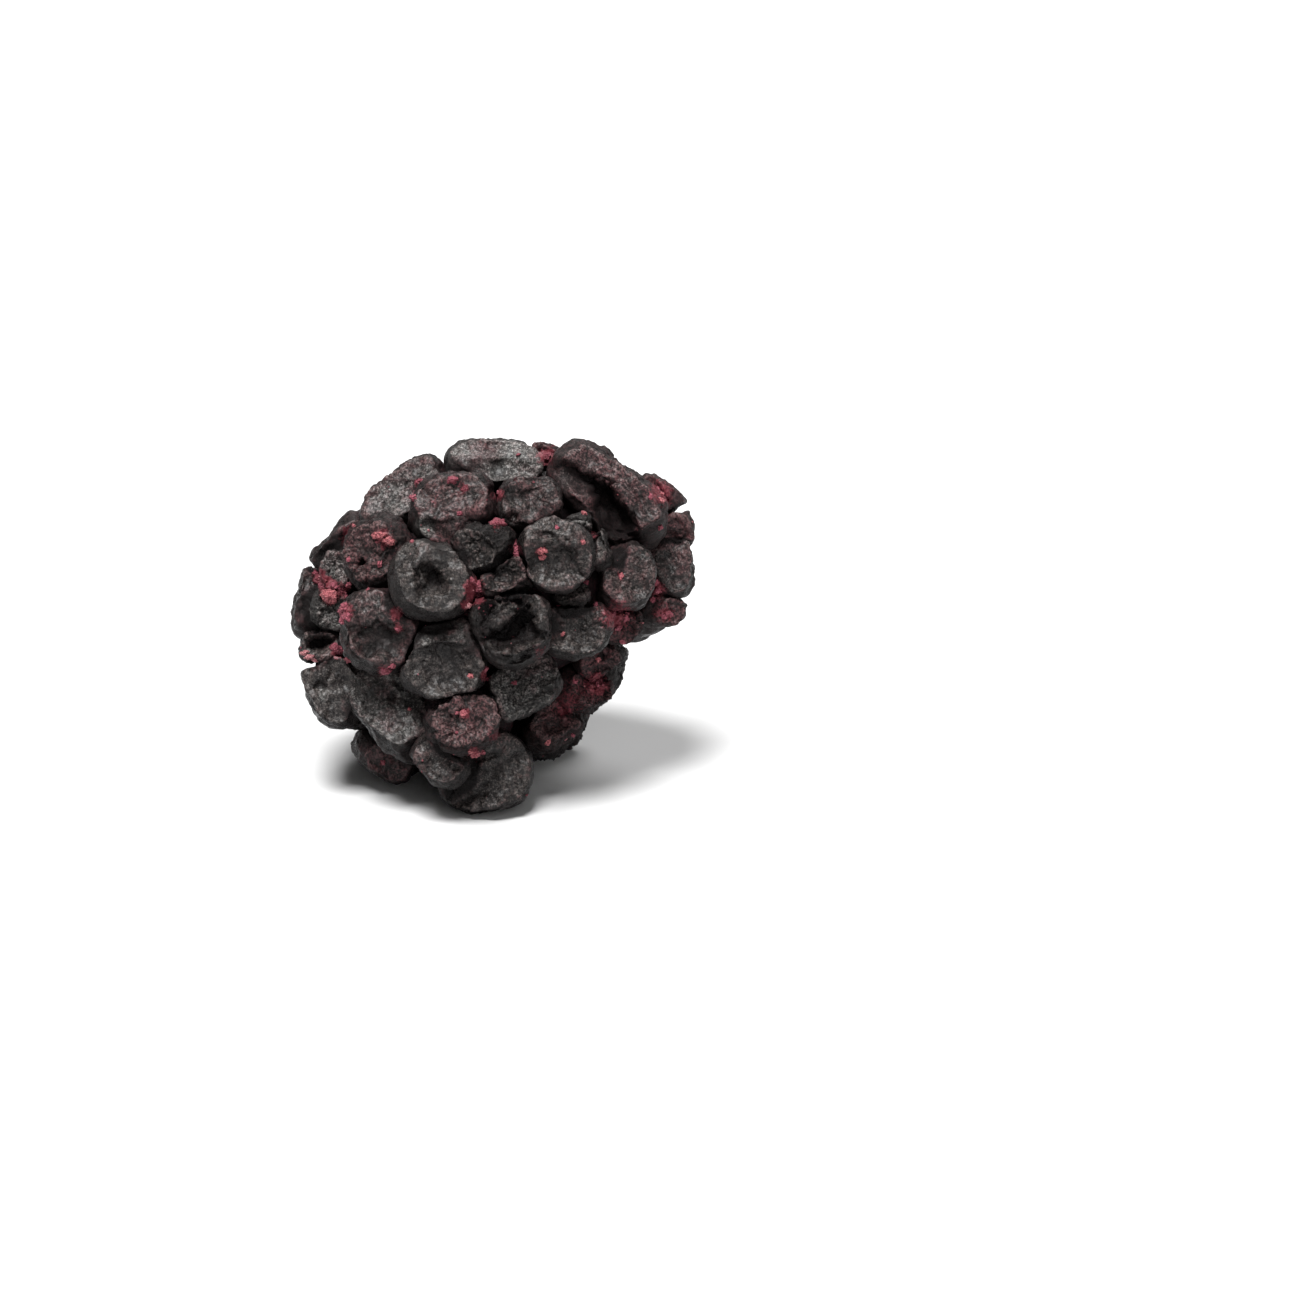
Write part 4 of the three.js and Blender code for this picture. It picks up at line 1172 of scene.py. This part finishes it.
def newMaterial(name):
    material = bpy.data.materials.new(name)
    material.use_nodes = True
    maker = Maker(material.node_tree)
    shader = material.node_tree.nodes["Principled BSDF"]
    return material, maker, shader


skin = {
    "charcoal": (0.0045, 0.0035, 0.0035, 1),
    "graphite": (0.046, 0.038, 0.035, 1),
    "dusty": (0.184, 0.160, 0.146, 1),
    "mauve": (0.062, 0.020, 0.023, 1),
    "dustyMauve": (0.130, 0.050, 0.054, 1),
    "crimson": (0.115, 0.014, 0.022, 1),
    "rose": (0.230, 0.052, 0.066, 1),
    "bloom": (0.334, 0.332, 0.316, 1),
    "speck": (0.360, 0.230, 0.230, 1),
    "sheen": 0.12,  # specular level
    "satin": 0.5,  # coat on its smoothest faces
    "satinRoughness": 0.42,
}


def skinMaterial():
    material, maker, shader = newMaterial("skin")
    here = maker.placeInMm()
    film = maker.stored("film", "Vector")
    rough = maker.stored("look", "Vector").part("X")
    crease = maker.stored("crease")
    hollow = maker.stored("hollow")
    rim = maker.stored("rim")
    relief = maker.stored("relief")
    side = maker.stored("side")
    high = maker.node("ShaderNodeNewGeometry", output="Normal").part("Z")
    broad = maker.noise(here, 0.8, 2.0)
    blotch = maker.noise(here, 2.6, 5.0, 0.62)
    worn = maker.noise(here + (31, 17, 5), 3.4, 5.0, 0.7)
    grit = maker.noise(here, 7.5, 4.0, 0.7)
    fine = maker.noise(here + (5, 2, 9), 15.0, 2.0, 0.7)

    # How much of each film, stain and dust there is, with painted light and shade mixed in.
    mauveness = film.part("X") * 0.8 + (blotch - 0.5) * 1.5 + (broad - 0.5) * 0.6 + relief * 1.2
    mauveness = mauveness + maker.ramp(crease, 0.0, 0.06) * 0.25 + rim * 0.2
    mauveShare = maker.ramp(mauveness, 0.15, 1.0)
    crimsonness = film.part("Z") * 1.9 + (worn - 0.5) * 2.0 + (grit - 0.5) * 1.6
    crimsonShare = maker.ramp(crimsonness, 0.5, 1.1)
    # Pale bloom, plus painted light: lighter on upward faces, and darker in creases.
    bloomAndTopLight = film.part("Y") + (worn - 0.5) * 1.4 - crease + high * 0.2
    bloomAndTopLightShare = maker.ramp(bloomAndTopLight, 0.35, 1.15)
    # Dust, plus painted light: lighter on upward faces and along the rims, and darker in creases.
    dustAndPaintedLight = (worn - 0.5) * 1.7 + (grit - 0.5) + high * 0.9 + rim * 0.6 + relief * 1.5 - crease * 3
    dustAndPaintedLightShare = maker.ramp(dustAndPaintedLight, 0.45, 1.2)
    grains = maker.ramp(fine * 0.6 + grit * 0.4, 0.51, 0.68)
    dotColour = maker.node("ShaderNodeSeparateColor", inputs={0: maker.cells(here, 3.1, output=1)})
    dots = maker.ramp(maker.cells(here, 3.1), 0.06, 0.16, 1.0, 0.0)
    speckShare = dots * maker.ramp(dotColour, 0.8, 0.95)
    spots = maker.ramp(grit + fine * 0.4, 0.6, 0.78, 0.95, 0.0) * (0.6 + 0.7 * rough).atMost(1.0)
    sideShade = maker.ramp(side + (worn - 0.5) * 1.5 + (grit - 0.5) * 0.6, 0.5, 1.15) * 0.8
    shade = (maker.ramp(crease, 0.02, 0.17) * 0.97).atLeast(sideShade)
    shade = shade.atLeast(maker.ramp(hollow, 0.2, 0.9) * 0.92)

    charcoal = skin["charcoal"]
    mauve = maker.mix(maker.ramp(grit, 0.35, 0.7), skin["mauve"], skin["dustyMauve"])
    dust = maker.mix(mauveShare, skin["dusty"], skin["dustyMauve"])
    stain = maker.mix(maker.ramp(grit, 0.4, 0.7), skin["crimson"], skin["rose"])
    colour = maker.mix(maker.ramp(blotch, 0.34, 0.66), charcoal, skin["graphite"])
    colour = maker.mix(mauveShare * 0.9, colour, mauve)
    colour = maker.mix(dustAndPaintedLightShare * (0.15 + 0.6 * grains), colour, skin["dusty"])
    colour = maker.mix(grains * 0.55, colour, dust)
    colour = maker.mix(bloomAndTopLightShare * (0.2 + 0.65 * grains), colour, skin["bloom"])
    colour = maker.mix(speckShare * 0.7, colour, skin["speck"])
    colour = maker.mix(spots, colour, charcoal)
    # Painted shade: darker in the low places of the relief.
    colour = maker.mix(maker.ramp(relief, -0.16, 0.02, 0.8, 0.0), colour, charcoal)
    # Painted shade: darker on faces that turn downwards.
    colour = maker.mix(maker.ramp(high, -0.4, 0.35, 0.6, 0.0), colour, charcoal)
    colour = maker.mix(shade, colour, charcoal)
    colour = maker.mix(crimsonShare * (0.9 - 0.35 * shade), colour, stain)

    satin = maker.ramp(fine * 0.4 + grit * 0.6, 0.42, 0.62, 0.4, 1.0) * (1 - shade)
    satin = satin * (1.1 - 0.7 * rough)
    dullness = 0.26 + (broad - 0.5) * 0.5 + (fine - 0.5) * 0.4 + (grit - 0.5) * 0.4
    dullness = dullness + 0.22 * mauveShare + 0.25 * bloomAndTopLightShare + 0.12 * rough
    height = (grit - 0.5) * (0.07 + 0.08 * rough) + (worn - 0.5) * 0.08 + (fine - 0.5) * 0.04
    height = height + crimsonShare * 0.03 + speckShare * 0.02
    maker.put(shader.inputs["Base Color"], colour)
    maker.put(shader.inputs["Roughness"], dullness)
    maker.put(shader.inputs["Normal"], maker.bumped(height))
    maker.put(shader.inputs["Specular IOR Level"], skin["sheen"])
    maker.put(shader.inputs["Coat Weight"], satin * skin["satin"])
    maker.put(shader.inputs["Coat Roughness"], skin["satinRoughness"])
    return material


flesh = {
    "dark": (0.004, 0.002, 0.0025, 1),
    "dry": (0.020, 0.007, 0.009, 1),
    "crumb": (0.100, 0.020, 0.028, 1),
    "sheen": 0.15,
}


def fleshMaterial():
    material, maker, shader = newMaterial("flesh")
    here = maker.placeInMm()
    blotch = maker.noise(here, 1.6, 4.0, 0.6)
    grit = maker.noise(here, 9.0, 4.0, 0.7)
    colour = maker.mix(maker.ramp(blotch, 0.42, 0.68), flesh["dark"], flesh["dry"])
    colour = maker.mix(maker.ramp(grit + blotch * 0.6, 0.88, 1.1) * 0.8, colour, flesh["crumb"])
    maker.put(shader.inputs["Base Color"], colour)
    maker.put(shader.inputs["Roughness"], 0.8 + (grit - 0.5) * 0.3)
    maker.put(shader.inputs["Normal"], maker.bumped((grit - 0.5) * 0.08))
    maker.put(shader.inputs["Specular IOR Level"], flesh["sheen"])
    return material


crumbTints = {
    "crimson": (0.110, 0.012, 0.020, 1),
    "rose": (0.280, 0.060, 0.088, 1),
    "salmon": (0.430, 0.118, 0.126, 1),
    "pale": (0.540, 0.260, 0.270, 1),
}


def crumbMaterial():
    material, maker, shader = newMaterial("crumb")
    here = maker.placeInMm()
    tint = maker.stored("tint")
    grit = maker.noise(here, 14.0, 3.0, 0.65)
    grain = maker.cells(here, 9.0)
    pits = maker.ramp(grit - grain * 0.4, 0.2, 0.42, 0.8, 0.0)
    colour = maker.mix(maker.ramp(tint, 0.0, 0.45), crumbTints["crimson"], crumbTints["rose"])
    colour = maker.mix(maker.ramp(tint, 0.5, 0.85), colour, crumbTints["salmon"])
    colour = maker.mix(maker.ramp(tint, 0.88, 1.0) * 0.7, colour, crumbTints["pale"])
    colour = maker.mix(pits, colour, crumbTints["crimson"])
    maker.put(shader.inputs["Base Color"], colour)
    maker.put(shader.inputs["Roughness"], 0.62 + (grit - 0.5) * 0.3)
    maker.put(shader.inputs["Normal"], maker.bumped(grit * 0.06 - grain * 0.12))
    return material


fibreTones = {"dark": (0.045, 0.024, 0.018, 1), "light": (0.20, 0.14, 0.10, 1)}


def fibreMaterial():
    material, maker, shader = newMaterial("fibre")
    here = maker.placeInMm()
    tone = maker.ramp(maker.noise(here, 1.4, 3.0, 0.6), 0.35, 0.65)
    grit = maker.noise(here, 12.0, 3.0, 0.6)
    maker.put(shader.inputs["Base Color"], maker.mix(tone, fibreTones["dark"], fibreTones["light"]))
    maker.put(shader.inputs["Roughness"], 0.55 + (grit - 0.5) * 0.3)
    maker.put(shader.inputs["Normal"], maker.bumped(grit * 0.03))
    return material


def floorMaterial():
    material, maker, shader = newMaterial("floor")
    tone = studio["floorTone"]
    maker.put(shader.inputs["Base Color"], (tone, tone, tone, 1))
    maker.put(shader.inputs["Roughness"], studio["floorRoughness"])
    return material


def addFloor():
    half = studio["floorHalf"]
    mesh = bpy.data.meshes.new("floor")
    corners = [(-half, -half, 0), (half, -half, 0), (half, half, 0), (-half, half, 0)]
    mesh.from_pydata(corners, [], [(0, 1, 2, 3)])
    mesh.materials.append(floorMaterial())
    linked("floor", mesh)


addCamera()
addLights()
addWorld()
addFloor()
print("studio ready")
drupelets = makeDrupelets(skinMaterial())
coreBody = makeCore(fleshMaterial())
fibreLook = fibreMaterial()
scarCup = makeScar(fibreLook)
print("berry body ready")
loose = makeCrumbs([*drupelets, coreBody], crumbMaterial())
hairs = makeFibres(drupelets, fibreLook)
print("crumbs and fibres ready")
slots = [(drupelets, "skin"), ([coreBody, *loose], "crumb"), ([scarCup, hairs], "fibre")]
for pieces, slot in slots:
    for piece in pieces:
        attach(piece, body)
        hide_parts(node)
